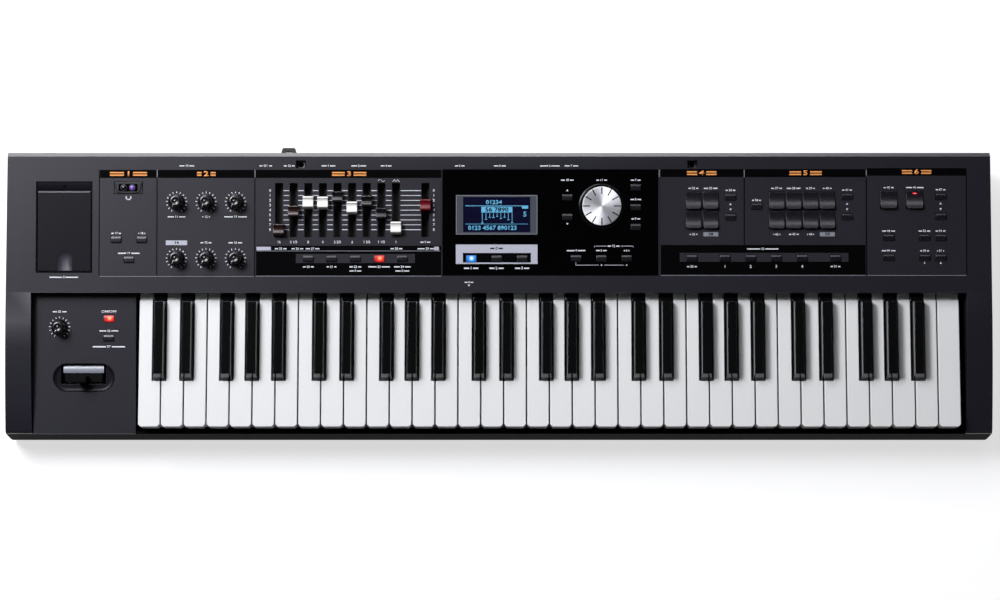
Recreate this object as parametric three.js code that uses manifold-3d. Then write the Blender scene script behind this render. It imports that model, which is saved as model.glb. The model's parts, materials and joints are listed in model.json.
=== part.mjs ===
// Combo organ with 61 keys, nine drawbars and a bender lever.
// Millimetres, +X along the keys to the right, -Y towards the player, +Z up.
// The origin is under the middle of the whole instrument, on the surface it stands on.

import * as THREE from 'three';
import { mergeVertices } from 'three/addons/utils/BufferGeometryUtils.js';
import Module from 'manifold-3d';

const wasm = await Module();
wasm.setup();

// Driving dimensions

// Running gap between pieces that only touch, and how far a cut runs past what it cuts.
const seat = 0.3;
const overrun = 5;

const casing = {
  width: 1008,
  depth: 287,
  rearNarrowing: 2.5,
  wall: 3,
  cornerRadius: 1.6,
  bottomChamfer: 4,
  splitHeight: 36,
  frontLean: 3,
  frontWall: 6,
  keyslipDrop: 19,
  rearBevel: 4.5,
  rearBevelDrop: 4,
};

const foot = { height: 8, radius: 11, tipRadius: 9, insetX: 60, insetY: 34 };

const panel = { frontOffsetDeepShare: 0.50174, lift: 13, rise: 14, lipHeight: 7 };

const cheek = { width: 27, frontDrop: 16, edge: 3, bendOffsetDeepShare: 0.25087, bendRise: 5.7 };

const hook = {
  reach: 9,
  width: 18.5,
  tipWidth: 14,
  height: 8,
  xAcrossShare: -0.21429,
  z: 66,
  slotWidth: 7,
  slotReach: 3.5,
};

const keybed = {
  pitchAcrossShare: 0.02312,
  gap: 1.4,
  leftEdgeAcrossShare: -0.36508,
  octaves: 5,
  topHeight: 67,
  frontGap: 8.3,
  whiteFrontLengthDeepShare: 0.16341,
  coverOffset: 5.5,
  tailDrop: 4,
  tailEnd: 17,
  skirtHeight: 20,
  skirtLength: 20,
  bodyHeight: 12,
  plate: 2.5,
  wall: 2.2,
  cornerRadius: 2.4,
  sharpWidth: 12.7,
  sharpTopWidth: 9,
  sharpRise: 12,
  sharpSlope: 5,
  sharpShoulder: 2,
  sharpGap: 1,
  sharpRearOffset: 8.5,
  sharpFrontGap: 1,
  pivotOffset: 26,
  pivotDrop: 13.8,
  railThickness: 2,
  railGap: 0.8,
  railFront: 7.4,
  railRear: 8,
  tabReach: 3,
};

const noteNames = ['C', 'D', 'E', 'F', 'G', 'A', 'B'];

// How far each sharp stands from the line between its two white keys, left to right.
const sharpOffsets = { C: -1.85, D: 2.95, F: -3.05, G: -0.4, A: 3.4 };

const chassis = {
  sheet: 2,
  plateHeight: 33,
  flange: 12,
  frontGap: 4,
  riserGap: 14,
  shelfFront: 0.5,
  shelfDrop: 1,
  guideGap: 1.4,
  guideLength: 4,
  guideHeight: 20,
  guideInset: 9,
};

const contactBoard = {
  thickness: 1.6,
  length: 40,
  frontOffsetDeepShare: 0.22997,
  stripWidth: 8,
  stripHeight: 7,
};

const ribs = { height: 6, thickness: 2, spacing: 164, crossOffsetDeepShare: 0.31359 };

const boss = { radius: 4, wallGap: 9 };
const bossShares = [-0.39683, 0.12897, 0.29762, 0.43651];

const panelParts = {
  plateGap: 13,
  board: 1.6,
  postRadius: 3,
  carrierDrop: 2.3,
  carrier: 1.5,
  holeGap: 0.35,
};

const panelBoardEdge = {
  leftAcrossShare: -0.40179,
  rightAcrossShare: 0.46627,
  frontDeepShare: 0.08362,
  rearDeepShare: 0.40418,
};
const panelPostShares = [-0.34722, -0.2381, 0.37698];

const button = { width: 10.4, length: 6.6, height: 1.8, chamfer: 0 };
const toneButton = { width: 15.2, length: 18, height: 4, chamfer: 1.2 };
const drumButton = { width: 16.8, length: 18.2, height: 4, chamfer: 1.2 };

const knob = {
  skirtRadius: 8.2,
  skirtHeight: 2.4,
  bodyRadius: 6.8,
  topRadius: 5.9,
  height: 15.8,
  dish: 0.8,
  shaftRadius: 3,
  shaftLength: 12,
  pointerWidth: 1.2,
  pointerDepth: 0.8,
  restTurn: 150,
  float: 0.5,
};

const dial = {
  skirtRadius: 23.4,
  skirtHeight: 1.6,
  radius: 20.4,
  topRadius: 19.8,
  height: 8.5,
  dish: 0.7,
  shaftRadius: 3.5,
  shaftLength: 12,
};

const drawbar = {
  pitchAcrossShare: 0.0148,
  firstXAcrossShare: -0.22252,
  levelXAcrossShare: -0.0744,
  slotWidth: 8,
  slotFrontDeepShare: 0.19756,
  slotRearDeepShare: 0.39024,
  zeroVDeepShare: 0.36237,
  stepDeepShare: 0.01742,
  capWidth: 11.2,
  capLength: 13.6,
  capWaist: 7,
  lipHeight: 1.2,
  crownHeight: 9.4,
  waistShare: 0.85,
  crownShare: 0.7,
  dishShare: 0.1,
  fallShare: 0.6,
  float: 0.6,
  stemWidth: 3.5,
  stemLength: 5,
  carriageWidth: 7.4,
  carriageLength: 9,
  carriageHeight: 2.5,
  potWidth: 9,
  potMargin: 3,
};

// Where each drawbar stands on its 0 to 8 scale, and where the level slider stands.
const drawbarSettings = [8, 4.3, 2.4, 2.5, 1.3, 3.5, 2.2, 4.7, 7.6];
const levelSetting = 3;

const memory = {
  leftAcrossShare: -0.46726,
  rightAcrossShare: -0.4127,
  frontDeepShare: 0.07735,
  rearDeepShare: 0.36551,
  barLength: 8.7,
  depth: 22,
  wall: 2,
  sunk: 0.8,
  lid: 2,
  ledge: 2.4,
  notchXAcrossShare: -0.43948,
  notchWidth: 15.4,
  notchLength: 20,
  pinRadius: 0.6,
  pinReach: 1.5,
  socketXAcrossShare: -0.43998,
  socketWidth: 13,
  socketHeight: 5.6,
  socketDrop: 12,
  socketDepth: 14,
  socketWall: 1.6,
  tongue: 1.8,
};

const restSocket = {
  leftXAcrossShare: -0.2004,
  rightXAcrossShare: 0.19593,
  vDeepShare: 0.45714,
  width: 10,
  length: 8,
  recess: 6,
  boreRadius: 2.6,
  depth: 14,
  wall: 2,
};

const beam = {
  leftAcrossShare: -0.38929,
  rightAcrossShare: -0.36071,
  frontDeepShare: 0.35192,
  rearDeepShare: 0.39477,
  height: 1.2,
  depth: 6,
  shoulder: 2.4,
  cornerRise: 1.4,
  lensRadius: 2.8,
  lensHeight: 0.9,
  firstEyeXAcrossShare: -0.37956,
  secondEyeXAcrossShare: -0.37093,
};

const centre = {
  leftAcrossShare: -0.05685,
  rightAcrossShare: 0.16111,
  frontDeepShare: 0.06167,
  rearDeepShare: 0.43868,
  plate: 1.5,
};

const display = {
  leftAcrossShare: -0.04355,
  rightAcrossShare: 0.03909,
  frontDeepShare: 0.20662,
  rearDeepShare: 0.34774,
  height: 0.6,
  depth: 9,
  screenLeftAcrossShare: -0.03611,
  screenRightAcrossShare: 0.03194,
  screenFrontDeepShare: 0.21498,
  screenRearDeepShare: 0.34007,
  screenDepth: 1.2,
};

const block = {
  rightEdgeAcrossShare: -0.36806,
  fall: 17,
  frontReachDeepShare: 0.49129,
  wall: 3,
  skirtHeight: 38,
  volumeXAcrossShare: -0.44583,
  volumeVDeepShare: -0.11707,
  pillLeftAcrossShare: -0.45258,
  pillRightAcrossShare: -0.38968,
  pillFrontDeepShare: -0.34739,
  pillRearDeepShare: -0.24564,
  pillDepth: 1.8,
  mouthLeftAcrossShare: -0.44444,
  mouthRightAcrossShare: -0.39881,
  mouthFrontDeepShare: -0.31882,
  mouthRearDeepShare: -0.24913,
};

const bender = {
  xAcrossShare: -0.42163,
  pivotVDeepShare: -0.20209,
  pinRadius: 3,
  pinLength: 32,
  hubRadius: 7,
  hubTop: 7,
  hubHeight: 22,
  armWidth: 4,
  armSpan: 13,
  tiltVDeepShare: -0.29617,
  tiltDrop: 20,
  axleRadius: 3.5,
  barrelRadius: 5.5,
  stickWidth: 9.8,
  stickLength: 6.8,
  stickVDeepShare: -0.30314,
  stickHeight: 20,
  stickTip: 1.5,
  shutterWidth: 41.5,
  shutterFrontDeepShare: -0.28049,
  shutterRearDeepShare: -0.25366,
  shutterTop: 4,
  shutterThickness: 1.6,
  webLength: 3,
};

const jack = {
  z: 54,
  housing: 14,
  housingDepth: 18,
  noseRadius: 4.6,
  boreRadius: 3.2,
  boreDepth: 16,
  dinHousing: 20,
  dinRadius: 7.2,
  dinFace: 1.2,
  dinRing: 1.4,
  usbWidth: 12,
  usbHeight: 11,
  usbWall: 1.4,
  usbTongue: 5.6,
  usbDepth: 8,
  dcWidth: 9,
  dcBoreRadius: 2.8,
  dcPinRadius: 1.1,
  dcDepth: 9,
  clearance: 0.4,
};

const audioJackShares = [-0.17262, -0.15079, -0.13294, -0.11409, -0.03968, 0.05159, 0.07341];
const dinJackShares = [-0.01389, 0.01587];

// The computer socket, then the inlet.
const otherJackShares = [-0.31597, -0.21429];

const mainBoard = {
  leftAcrossShare: -0.34226,
  rightAcrossShare: 0.09524,
  length: 62,
  thickness: 1.6,
  postRadius: 3,
  postColumns: 5,
  postMargin: 6,
};

const power = { xAcrossShare: -0.23512, width: 9, height: 7, reach: 1.8, length: 14, housing: 2 };

// Button places on the panel, grouped by carrier: shares of the width across and of the depth up the slope.
const buttonShares = {
  beam_buttons: {
    caps: [[-0.3872, 0.1892], [-0.36131, 0.1892], [-0.3744, 0.11812]],
    carriers: [[-0.39286, -0.35565, 0.10627, 0.20209]],
  },
  organ_buttons: {
    caps: [
      [-0.19276, 0.12125], [-0.16925, 0.12125], [-0.14514, 0.12125], [-0.12113, 0.12125],
      [-0.09762, 0.12125],
    ],
    carriers: [[-0.19841, -0.09177, 0.10627, 0.13589]],
  },
  centre_buttons: {
    caps: [
      [-0.02808, 0.12125], [-0.00238, 0.12125], [0.02351, 0.12125], [0.07808, 0.12265],
      [0.10367, 0.12265], [0.12917, 0.12265],
      [0.06925, 0.33902], [0.06925, 0.26969], [0.13849, 0.37526], [0.13849, 0.30418], [0.13849, 0.2338],
    ],
    carriers: [
      [-0.03373, 0.14385, 0.10801, 0.13589], [0.06349, 0.0749, 0.10801, 0.35366],
      [0.13294, 0.14385, 0.10801, 0.39024],
    ],
  },
  registration_buttons: {
    caps: [
      [0.19524, 0.12369], [0.22867, 0.12369], [0.25466, 0.12369], [0.28056, 0.12369],
      [0.30675, 0.12369], [0.34038, 0.12369],
    ],
    carriers: [[0.18948, 0.34623, 0.10801, 0.13937]],
  },
  tone_buttons: {
    caps: [
      [0.23433, 0.34146], [0.23433, 0.27003], [0.26081, 0.30767], [0.35238, 0.34286],
      [0.35238, 0.27108],
    ],
    tall: [
      [0.19692, 0.32787], [0.21438, 0.32787], [0.19692, 0.25854], [0.21438, 0.25854],
      [0.28115, 0.32787], [0.29841, 0.32787],
      [0.31538, 0.32787], [0.33234, 0.32787], [0.28115, 0.25854], [0.29841, 0.25854],
      [0.31538, 0.25854], [0.33234, 0.25854],
    ],
    carriers: [[0.18849, 0.35813, 0.22648, 0.36237]],
  },
  drum_buttons: {
    caps: [
      [0.44702, 0.34321], [0.44702, 0.27213], [0.39425, 0.19721], [0.39425, 0.12613],
      [0.43056, 0.19721], [0.43056, 0.12613], [0.44683, 0.19721], [0.44683, 0.12613],
    ],
    broad: [[0.39444, 0.32997], [0.42083, 0.32997]],
    carriers: [[0.38591, 0.45288, 0.1115, 0.36237]],
  },
};

const rotaryShares = {
  caps: [[-0.39583,
  -0.08571],
  [-0.39583,
  -0.1547]],
  carriers: [[-0.40129,
  -0.39038,
  -0.16725,
  -0.07317]],
};

const effectsKnobShares = {
  drive_knob: [-0.32619, 0.3223],
  tone_knob: [-0.29633, 0.3223],
  compressor_knob: [-0.26657, 0.3223],
  modulation_knob: [-0.32619, 0.12125],
  delay_knob: [-0.29633, 0.12125],
  reverb_knob: [-0.26657, 0.12125],
};

const dialShares = [0.10397, 0.30662];

// Places worked out from the driving dimensions

// Each place across is a share of the casing's width, and each place up the slope is one of its depth.
function settle(part) {
  for (const [name, value] of Object.entries(part)) {
    if (name.endsWith('AcrossShare')) part[name.slice(0, -'AcrossShare'.length)] = value * casing.width;
    if (name.endsWith('DeepShare')) part[name.slice(0, -'DeepShare'.length)] = value * casing.depth;
  }
}

const settled = [
  panel, cheek, hook, keybed, contactBoard, ribs, panelBoardEdge, drawbar, memory, restSocket, beam,
  centre, display, block, bender, mainBoard, power,
];
settled.forEach(settle);

// Heights that follow the top of the keys.
panel.frontHeight = keybed.topHeight + panel.lift;
cheek.frontHeight = keybed.topHeight - cheek.frontDrop;
cheek.bendHeight = keybed.topHeight + cheek.bendRise;
casing.keyslipHeight = keybed.topHeight - casing.keyslipDrop;
block.rearHeight = keybed.topHeight;
block.frontHeight = keybed.topHeight - block.fall;

const acrossAll = (shares) => shares.map((share) => share * casing.width);
const spotsOf = (shares) => shares.map(([x, v]) => [x * casing.width, v * casing.depth]);

function buttonPlaces(shares) {
  return {
    caps: spotsOf(shares.caps),
    tall: spotsOf(shares.tall ?? []),
    broad: spotsOf(shares.broad ?? []),
    carriers: shares.carriers.map(([x0, x1, v0, v1]) => [
      x0 * casing.width, x1 * casing.width, v0 * casing.depth, v1 * casing.depth,
    ]),
  };
}

const bossX = acrossAll(bossShares);
const audioJackX = acrossAll(audioJackShares);
const dinJackX = acrossAll(dinJackShares);
const [usbJackX, dcJackX] = acrossAll(otherJackShares);
const panelPostX = acrossAll(panelPostShares);
const buttonSets = Object.fromEntries(
  Object.entries(buttonShares).map(([name, shares]) => [name, buttonPlaces(shares)]),
);
const rotaryButtons = buttonPlaces(rotaryShares);
const knobPlaces = spotsOf(Object.values(effectsKnobShares));
const effectsKnobs = Object.fromEntries(
  Object.keys(effectsKnobShares).map((name, i) => [name, knobPlaces[i]]),
);
const [dialPlace] = spotsOf([dialShares]);

const halfWidth = casing.width / 2;
const frontY = -(casing.depth + hook.reach) / 2;
const rearY = frontY + casing.depth;
const panelY = frontY + panel.frontOffset;
const panelRun = rearY - casing.rearBevel - panelY;
const panelSlope = Math.atan2(panel.rise, panelRun);
const panelRearZ = panel.frontHeight + panel.rise;
const cheekInner = halfWidth - cheek.width;
const blockLeft = -cheekInner + seat;
const blockSlope = Math.atan2(block.rearHeight - block.frontHeight, block.frontReach);
const plateDrop = casing.wall;
const tall = panelRearZ + casing.width;
const split = casing.splitHeight;
const keyFrontY = frontY + keybed.frontGap;
const keyNotchY = keyFrontY + keybed.whiteFrontLength;
const keyCoverY = panelY - keybed.coverOffset;
const keyTailY = panelY + keybed.tailEnd;
const keyBottomZ = keybed.topHeight - keybed.bodyHeight;
const pivotY = panelY + keybed.pivotOffset;
const whiteCount = keybed.octaves * noteNames.length + 1;
const keysRight = keybed.leftEdge + whiteCount * keybed.pitch;

// Finishes

function finish(color, roughness, metalness = 0) {
  return new THREE.MeshStandardMaterial({ color, roughness, metalness });
}

const materials = {
  shell: finish(0x2a2930, 0.55),
  black: finish(0x101012, 0.5),
  gloss: finish(0x050506, 0.12),
  ivory: finish(0xf2f2f4, 0.25),
  ebony: finish(0x0b0b0c, 0.2),
  steel: finish(0x9a9ca0, 0.35, 0.9),
  board: finish(0x1f4a2c, 0.6),
  frame: finish(0x8b8e96, 0.5),
  button: finish(0x34333b, 0.5),
  rubber: finish(0x141415, 0.85),
  aluminium: finish(0xc9ccd2, 0.3, 0.9),
  silver: finish(0xb9bcc4, 0.4),
  white: finish(0xf0efe8, 0.35),
  brown: finish(0x4a2c26, 0.4),
  red: finish(0x7c1c24, 0.4),
  lens: finish(0x1b1424, 0.1),
};

// Solids

// A closed geometry as a solid that can be joined and cut.
function solid(geometry, matrix = null) {
  const bare = geometry.index ? geometry.toNonIndexed() : geometry.clone();
  bare.deleteAttribute('normal');
  bare.deleteAttribute('uv');
  if (matrix) bare.applyMatrix4(matrix);
  const merged = mergeVertices(bare);
  const vertProperties = new Float32Array(merged.attributes.position.array);
  const triVerts = new Uint32Array(merged.index.array);
  return new wasm.Manifold(new wasm.Mesh({ numProp: 3, vertProperties, triVerts }));
}

function toGeometry(body) {
  const mesh = body.getMesh();
  const geometry = new THREE.BufferGeometry();
  geometry.setAttribute('position', new THREE.BufferAttribute(new Float32Array(mesh.vertProperties), 3));
  geometry.setIndex(Array.from(mesh.triVerts));
  const flat = geometry.toNonIndexed();
  flat.computeVertexNormals();
  return flat;
}

const joined = (first, ...others) => others.reduce((sum, body) => sum.add(body), first);

const cutFrom = (body, ...cutters) => cutters.reduce((rest, cutter) => rest.subtract(cutter), body);

function extruded(shape, depth, segments) {
  return new THREE.ExtrudeGeometry(shape, { depth, bevelEnabled: false, curveSegments: segments });
}

// A (y, z) outline carried along X.
function alongX(shape, x0, x1, segments = 5) {
  const matrix = new THREE.Matrix4().set(0, 0, 1, x0, 1, 0, 0, 0, 0, 1, 0, 0, 0, 0, 0, 1);
  return solid(extruded(shape, x1 - x0, segments), matrix);
}

// An (x, z) outline carried along Y.
function alongY(shape, y0, y1, segments = 6) {
  const matrix = new THREE.Matrix4().set(1, 0, 0, 0, 0, 0, -1, y1, 0, 1, 0, 0, 0, 0, 0, 1);
  return solid(extruded(shape, y1 - y0, segments), matrix);
}

// An (x, y) outline carried along Z.
function alongZ(shape, z0, z1, segments = 6) {
  const matrix = new THREE.Matrix4().makeTranslation(0, 0, z0);
  return solid(extruded(shape, z1 - z0, segments), matrix);
}

function box(x0, x1, y0, y1, z0, z1) {
  const geometry = new THREE.BoxGeometry(x1 - x0, y1 - y0, z1 - z0);
  geometry.translate((x0 + x1) / 2, (y0 + y1) / 2, (z0 + z1) / 2);
  return solid(geometry);
}

// A box about a place, by its width and length.
function slab(x, y, width, length, z0, z1) {
  return box(x - width / 2, x + width / 2, y - length / 2, y + length / 2, z0, z1);
}

function post(x, y, z0, z1, radius, sides = 8) {
  const geometry = new THREE.CylinderGeometry(radius, radius, z1 - z0, sides);
  geometry.rotateX(Math.PI / 2);
  geometry.translate(x, y, (z0 + z1) / 2);
  return solid(geometry);
}

// A round bar along X or Y.
function barX(x0, x1, y, z, radius, sides = 8) {
  const geometry = new THREE.CylinderGeometry(radius, radius, x1 - x0, sides);
  geometry.rotateZ(Math.PI / 2);
  geometry.translate((x0 + x1) / 2, y, z);
  return solid(geometry);
}

function barY(x, y0, y1, z, radius, sides = 8) {
  const geometry = new THREE.CylinderGeometry(radius, radius, y1 - y0, sides);
  geometry.translate(x, (y0 + y1) / 2, z);
  return solid(geometry);
}

// A turned piece about the Z axis from (radius, height) points that start and end on the axis.
function turned(points, x, y, sides) {
  const geometry = new THREE.LatheGeometry(points.map(([r, h]) => new THREE.Vector2(r, h)), sides);
  geometry.rotateX(Math.PI / 2);
  geometry.translate(x, y, 0);
  return solid(geometry);
}

function polygon(points) {
  return new THREE.Shape(points.map(([a, b]) => new THREE.Vector2(a, b)));
}

// Placing

const instrument = new THREE.Group();

const panelGroup = new THREE.Group();
panelGroup.position.set(0, panelY, panel.frontHeight);
panelGroup.rotation.x = panelSlope;

const blockGroup = new THREE.Group();
blockGroup.position.set(0, panelY, block.rearHeight);
blockGroup.rotation.x = blockSlope;

instrument.add(panelGroup, blockGroup);
instrument.updateMatrixWorld(true);

const toPanel = (body) => body.transform(panelGroup.matrixWorld.elements);
const toBlock = (body) => body.transform(blockGroup.matrixWorld.elements);

function place(name, body, material, group = instrument) {
  const mesh = new THREE.Mesh(toGeometry(body), material);
  mesh.name = name;
  group.add(mesh);
}

// Casing

// Side outline of the whole instrument, drawn in by the same amount all round.
function casingOutline(inset) {
  const front = frontY + inset;
  const rear = rearY - inset;
  const low = foot.height + inset;
  const shape = new THREE.Shape();
  shape.moveTo(front, low + casing.bottomChamfer);
  shape.lineTo(front + casing.frontLean, cheek.frontHeight - inset);
  shape.lineTo(front + casing.frontLean + cheek.edge, cheek.frontHeight + cheek.edge - inset);
  const bendY = panelY - cheek.bendOffset;
  shape.quadraticCurveTo(bendY, cheek.bendHeight - inset, panelY, panel.frontHeight - inset);
  shape.lineTo(rear - casing.rearBevel, panelRearZ - inset);
  shape.lineTo(rear, panelRearZ - casing.rearBevelDrop - inset);
  shape.lineTo(rear, low + casing.bottomChamfer);
  shape.lineTo(rear - casing.bottomChamfer, low);
  shape.lineTo(front + casing.bottomChamfer, low);
  shape.closePath();
  return shape;
}

// Plan outline: a little narrower at the rear, with rounded front corners.
function planOutline(inset) {
  const front = frontY + inset;
  const rear = rearY - inset;
  const wide = halfWidth - inset;
  const narrow = wide - casing.rearNarrowing;
  const radius = casing.cornerRadius;
  const shape = new THREE.Shape();
  shape.moveTo(-wide + radius, front);
  shape.lineTo(wide - radius, front);
  shape.quadraticCurveTo(wide, front, wide, front + radius);
  shape.lineTo(narrow, rear);
  shape.lineTo(-narrow, rear);
  shape.lineTo(-wide, front + radius);
  shape.quadraticCurveTo(-wide, front, -wide + radius, front);
  return shape;
}

function casingBody(inset) {
  const side = alongX(casingOutline(inset), -halfWidth, halfWidth);
  return side.intersect(alongZ(planOutline(inset), 0, tall, 2));
}

const frontWallY = frontY + casing.frontWall;
const across = halfWidth + overrun;
const farY = casing.depth;

function lowerCase() {
  const top = [
    [-farY, -overrun], [farY, -overrun], [farY, split], [frontWallY, split],
    [frontWallY, casing.keyslipHeight], [-farY, casing.keyslipHeight],
  ];
  const outer = casingBody(0).intersect(alongX(polygon(top), -across, across));
  const floorZ = foot.height + casing.wall;
  const inside = alongZ(planOutline(casing.wall), floorZ, tall, 2);
  const pieces = [cutFrom(outer, inside.intersect(box(-across, across, frontWallY, farY, -overrun, tall)))];
  const ribTop = floorZ + ribs.height;
  const low = foot.height + seat;
  const ribFront = frontWallY - casing.wall / 2;
  const ribRear = rearY - casing.wall / 2;
  const ribCount = Math.floor(casing.width / ribs.spacing);
  for (let i = 0; i < ribCount; i += 1) {
    const x = (i - (ribCount - 1) / 2) * ribs.spacing;
    pieces.push(box(x - ribs.thickness / 2, x + ribs.thickness / 2, ribFront, ribRear, low, ribTop));
  }
  const ribSide = halfWidth - casing.rearNarrowing - casing.wall / 2;
  for (const y of [-ribs.crossOffset, ribs.crossOffset]) {
    pieces.push(slab(0, y, ribSide * 2, ribs.thickness, low, ribTop));
  }
  for (const x of bossX) {
    pieces.push(post(x, rearY - boss.wallGap, low, split - seat, boss.radius));
  }
  for (const [x, y] of boardPosts()) {
    pieces.push(post(x, y, low, boardBottomZ - seat, mainBoard.postRadius, 6));
  }
  return joined(...pieces);
}

// Main board, with the jacks soldered along its rear edge

const boardTopZ = jack.z - jack.housing / 2;
const boardBottomZ = boardTopZ - mainBoard.thickness;
const boardRearY = rearY - casing.wall - seat;
const boardFrontY = boardRearY - mainBoard.length;

function boardPosts() {
  const places = [];
  const first = mainBoard.left + mainBoard.postMargin;
  const last = mainBoard.right - mainBoard.postMargin;
  for (let i = 0; i < mainBoard.postColumns; i += 1) {
    const x = first + ((last - first) * i) / (mainBoard.postColumns - 1);
    places.push([x, boardFrontY + mainBoard.postMargin]);
  }
  return places;
}

function housing(x, width, height, nose) {
  const middle = boardRearY - jack.housingDepth / 2;
  return slab(x, middle, width, jack.housingDepth, boardBottomZ, boardTopZ + height).add(nose);
}

function audioJack(x) {
  const nose = barY(x, boardRearY - overrun, rearY, jack.z, jack.noseRadius);
  const bore = barY(x, rearY - jack.boreDepth, rearY + overrun, jack.z, jack.boreRadius);
  return cutFrom(housing(x, jack.housing, jack.housing, nose), bore);
}

function dinJack(x) {
  const z = boardTopZ + jack.dinHousing / 2;
  const nose = barY(x, boardRearY - overrun, rearY - jack.dinFace, z, jack.dinRadius);
  const ring = barY(x, boardRearY - overrun, rearY - seat, z, jack.dinRadius);
  const core = barY(x, rearY - jack.dinFace, rearY + overrun, z, jack.dinRadius - jack.dinRing);
  return housing(x, jack.dinHousing, jack.dinHousing, nose.add(cutFrom(ring, core)));
}

function usbJack(x) {
  const half = jack.usbWidth / 2;
  const z0 = jack.z - jack.usbHeight / 2;
  const z1 = jack.z + jack.usbHeight / 2;
  const wall = jack.usbWall;
  const inner = half - wall;
  const floorY = rearY - jack.usbDepth;
  const nose = box(x - half, x + half, boardRearY - overrun, rearY, z0, z1);
  const mouth = box(x - inner, x + inner, floorY, rearY + overrun, z0 + wall, z1 - wall);
  const reach = jack.usbTongue / 2;
  const thick = reach / 2;
  const tongue = box(x - reach, x + reach, floorY - wall, rearY - wall, jack.z - thick, jack.z + thick);
  return cutFrom(housing(x, jack.housing, jack.housing, nose), mouth).add(tongue);
}

function dcJack(x) {
  const half = jack.dcWidth / 2;
  const nose = box(x - half, x + half, boardRearY - overrun, rearY - seat, jack.z - half, jack.z + half);
  const bore = barY(x, rearY - jack.dcDepth, rearY + overrun, jack.z, jack.dcBoreRadius);
  const pin = barY(x, rearY - jack.dcDepth - seat, rearY - casing.wall, jack.z, jack.dcPinRadius, 6);
  return cutFrom(housing(x, jack.housing, jack.housing, nose), bore).add(pin);
}

// The switch housing that the power button slides in.
function powerHousing() {
  const side = power.width / 2 + power.housing;
  const low = jack.z - power.height / 2 - power.housing;
  const high = jack.z + power.height / 2 + power.housing;
  const start = rearY + power.reach - power.length - power.housing;
  const shell = box(power.x - side, power.x + side, start - power.housing, boardRearY, boardBottomZ, high);
  const inset = power.housing - jack.clearance;
  const pocketSide = side - inset;
  const pocket = box(
    power.x - pocketSide, power.x + pocketSide, start, rearY + overrun, low + inset, high - inset,
  );
  return cutFrom(shell, pocket);
}

function mainBoardSolid() {
  const board = box(mainBoard.left, mainBoard.right, boardFrontY, boardRearY, boardBottomZ, boardTopZ);
  const audio = audioJackX.map(audioJack);
  const midi = dinJackX.map(dinJack);
  return joined(board, ...audio, ...midi, usbJack(usbJackX), dcJack(dcJackX), powerHousing());
}

function rearHoles() {
  const y0 = rearY - casing.wall - overrun;
  const y1 = rearY + overrun;
  const round = (x, z, radius) => barY(x, y0, y1, z, radius + jack.clearance);
  const square = (x, width, height) => {
    const side = width / 2 + jack.clearance;
    const rise = height / 2 + jack.clearance;
    return box(x - side, x + side, y0, y1, jack.z - rise, jack.z + rise);
  };
  return [
    ...audioJackX.map((x) => round(x, jack.z, jack.noseRadius)),
    ...dinJackX.map((x) => round(x, boardTopZ + jack.dinHousing / 2, jack.dinRadius)),
    square(usbJackX, jack.usbWidth, jack.usbHeight),
    square(dcJackX, jack.dcWidth, jack.dcWidth),
    square(power.x, power.width, power.height),
  ];
}

// Panel cut-outs, in the sloped panel's own frame: x across, v up the slope, w out of the face.

function capHoles(set, top, bottom) {
  const gap = panelParts.holeGap * 2;
  const hole = ([x, v], size) => slab(x, v, size.width + gap, size.length + gap, bottom, top);
  return [
    ...set.caps.map((spot) => hole(spot, button)),
    ...set.tall.map((spot) => hole(spot, toneButton)),
    ...set.broad.map((spot) => hole(spot, drumButton)),
  ];
}

const drawbarX = (i) => drawbar.firstX + i * drawbar.pitch;
const drawbarV = (setting) => drawbar.zeroV - setting * drawbar.step;
const slotX = [...drawbarSettings.map((_, i) => drawbarX(i)), drawbar.levelX];
const slotV = (drawbar.slotFront + drawbar.slotRear) / 2;
const slotLength = drawbar.slotRear - drawbar.slotFront;

function panelHoles() {
  const low = -plateDrop - overrun;
  const high = overrun;
  const holes = Object.values(buttonSets).flatMap((set) => capHoles(set, high, low));
  for (const [x, v] of Object.values(effectsKnobs)) {
    holes.push(post(x, v, low, high, knob.shaftRadius + panelParts.holeGap));
  }
  for (const x of slotX) {
    holes.push(slab(x, slotV, drawbar.slotWidth, slotLength, low, high));
  }
  holes.push(post(dialPlace[0], dialPlace[1], low, high, dial.shaftRadius + panelParts.holeGap));
  holes.push(around(beam, low, high), around(display, low, high));
  return holes;
}

// The opening for a piece let into the panel, with its seat all round.
function around(piece, low, high) {
  return box(piece.left - seat, piece.right + seat, piece.front - seat, piece.rear + seat, low, high);
}

// The bay under the memory cover is a moulded pocket with a socket in its rear wall.
const lidAxisV = memory.rear - panelParts.holeGap - memory.lid / 2;
const lidAxisW = -memory.sunk - memory.lid / 2;

function memoryPocket() {
  const wall = memory.wall;
  const side = memory.socketWidth / 2 + memory.socketWall;
  const shroud = box(
    memory.socketX - side, memory.socketX + side,
    memory.rear, memory.rear + memory.socketDepth + memory.socketWall,
    -memory.socketDrop - memory.socketHeight - memory.socketWall, -memory.socketDrop + memory.socketWall,
  );
  const shell = box(
    memory.left - wall, memory.right + wall,
    memory.front, memory.rear + wall, -memory.depth - wall, -plateDrop / 2,
  );
  return shell.add(shroud);
}

function memoryCuts() {
  const { left, right, front, rear } = memory;
  const cover = box(left, right, front, rear, lidAxisW - memory.lid / 2 - seat, overrun);
  const bay = box(left, right, front + memory.ledge, rear, -memory.depth, overrun);
  const bar = box(left, right, rear - seat, rear + memory.barLength, -memory.sunk, overrun);
  const reach = memory.pinReach + seat;
  const pins = barX(left - reach, right + reach, lidAxisV, lidAxisW, memory.pinRadius + seat);
  const mouth = box(
    memory.socketX - memory.socketWidth / 2, memory.socketX + memory.socketWidth / 2,
    memory.rear - overrun, memory.rear + memory.socketDepth,
    -memory.socketDrop - memory.socketHeight, -memory.socketDrop,
  );
  return [cover, bay, bar, pins, mouth];
}

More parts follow.
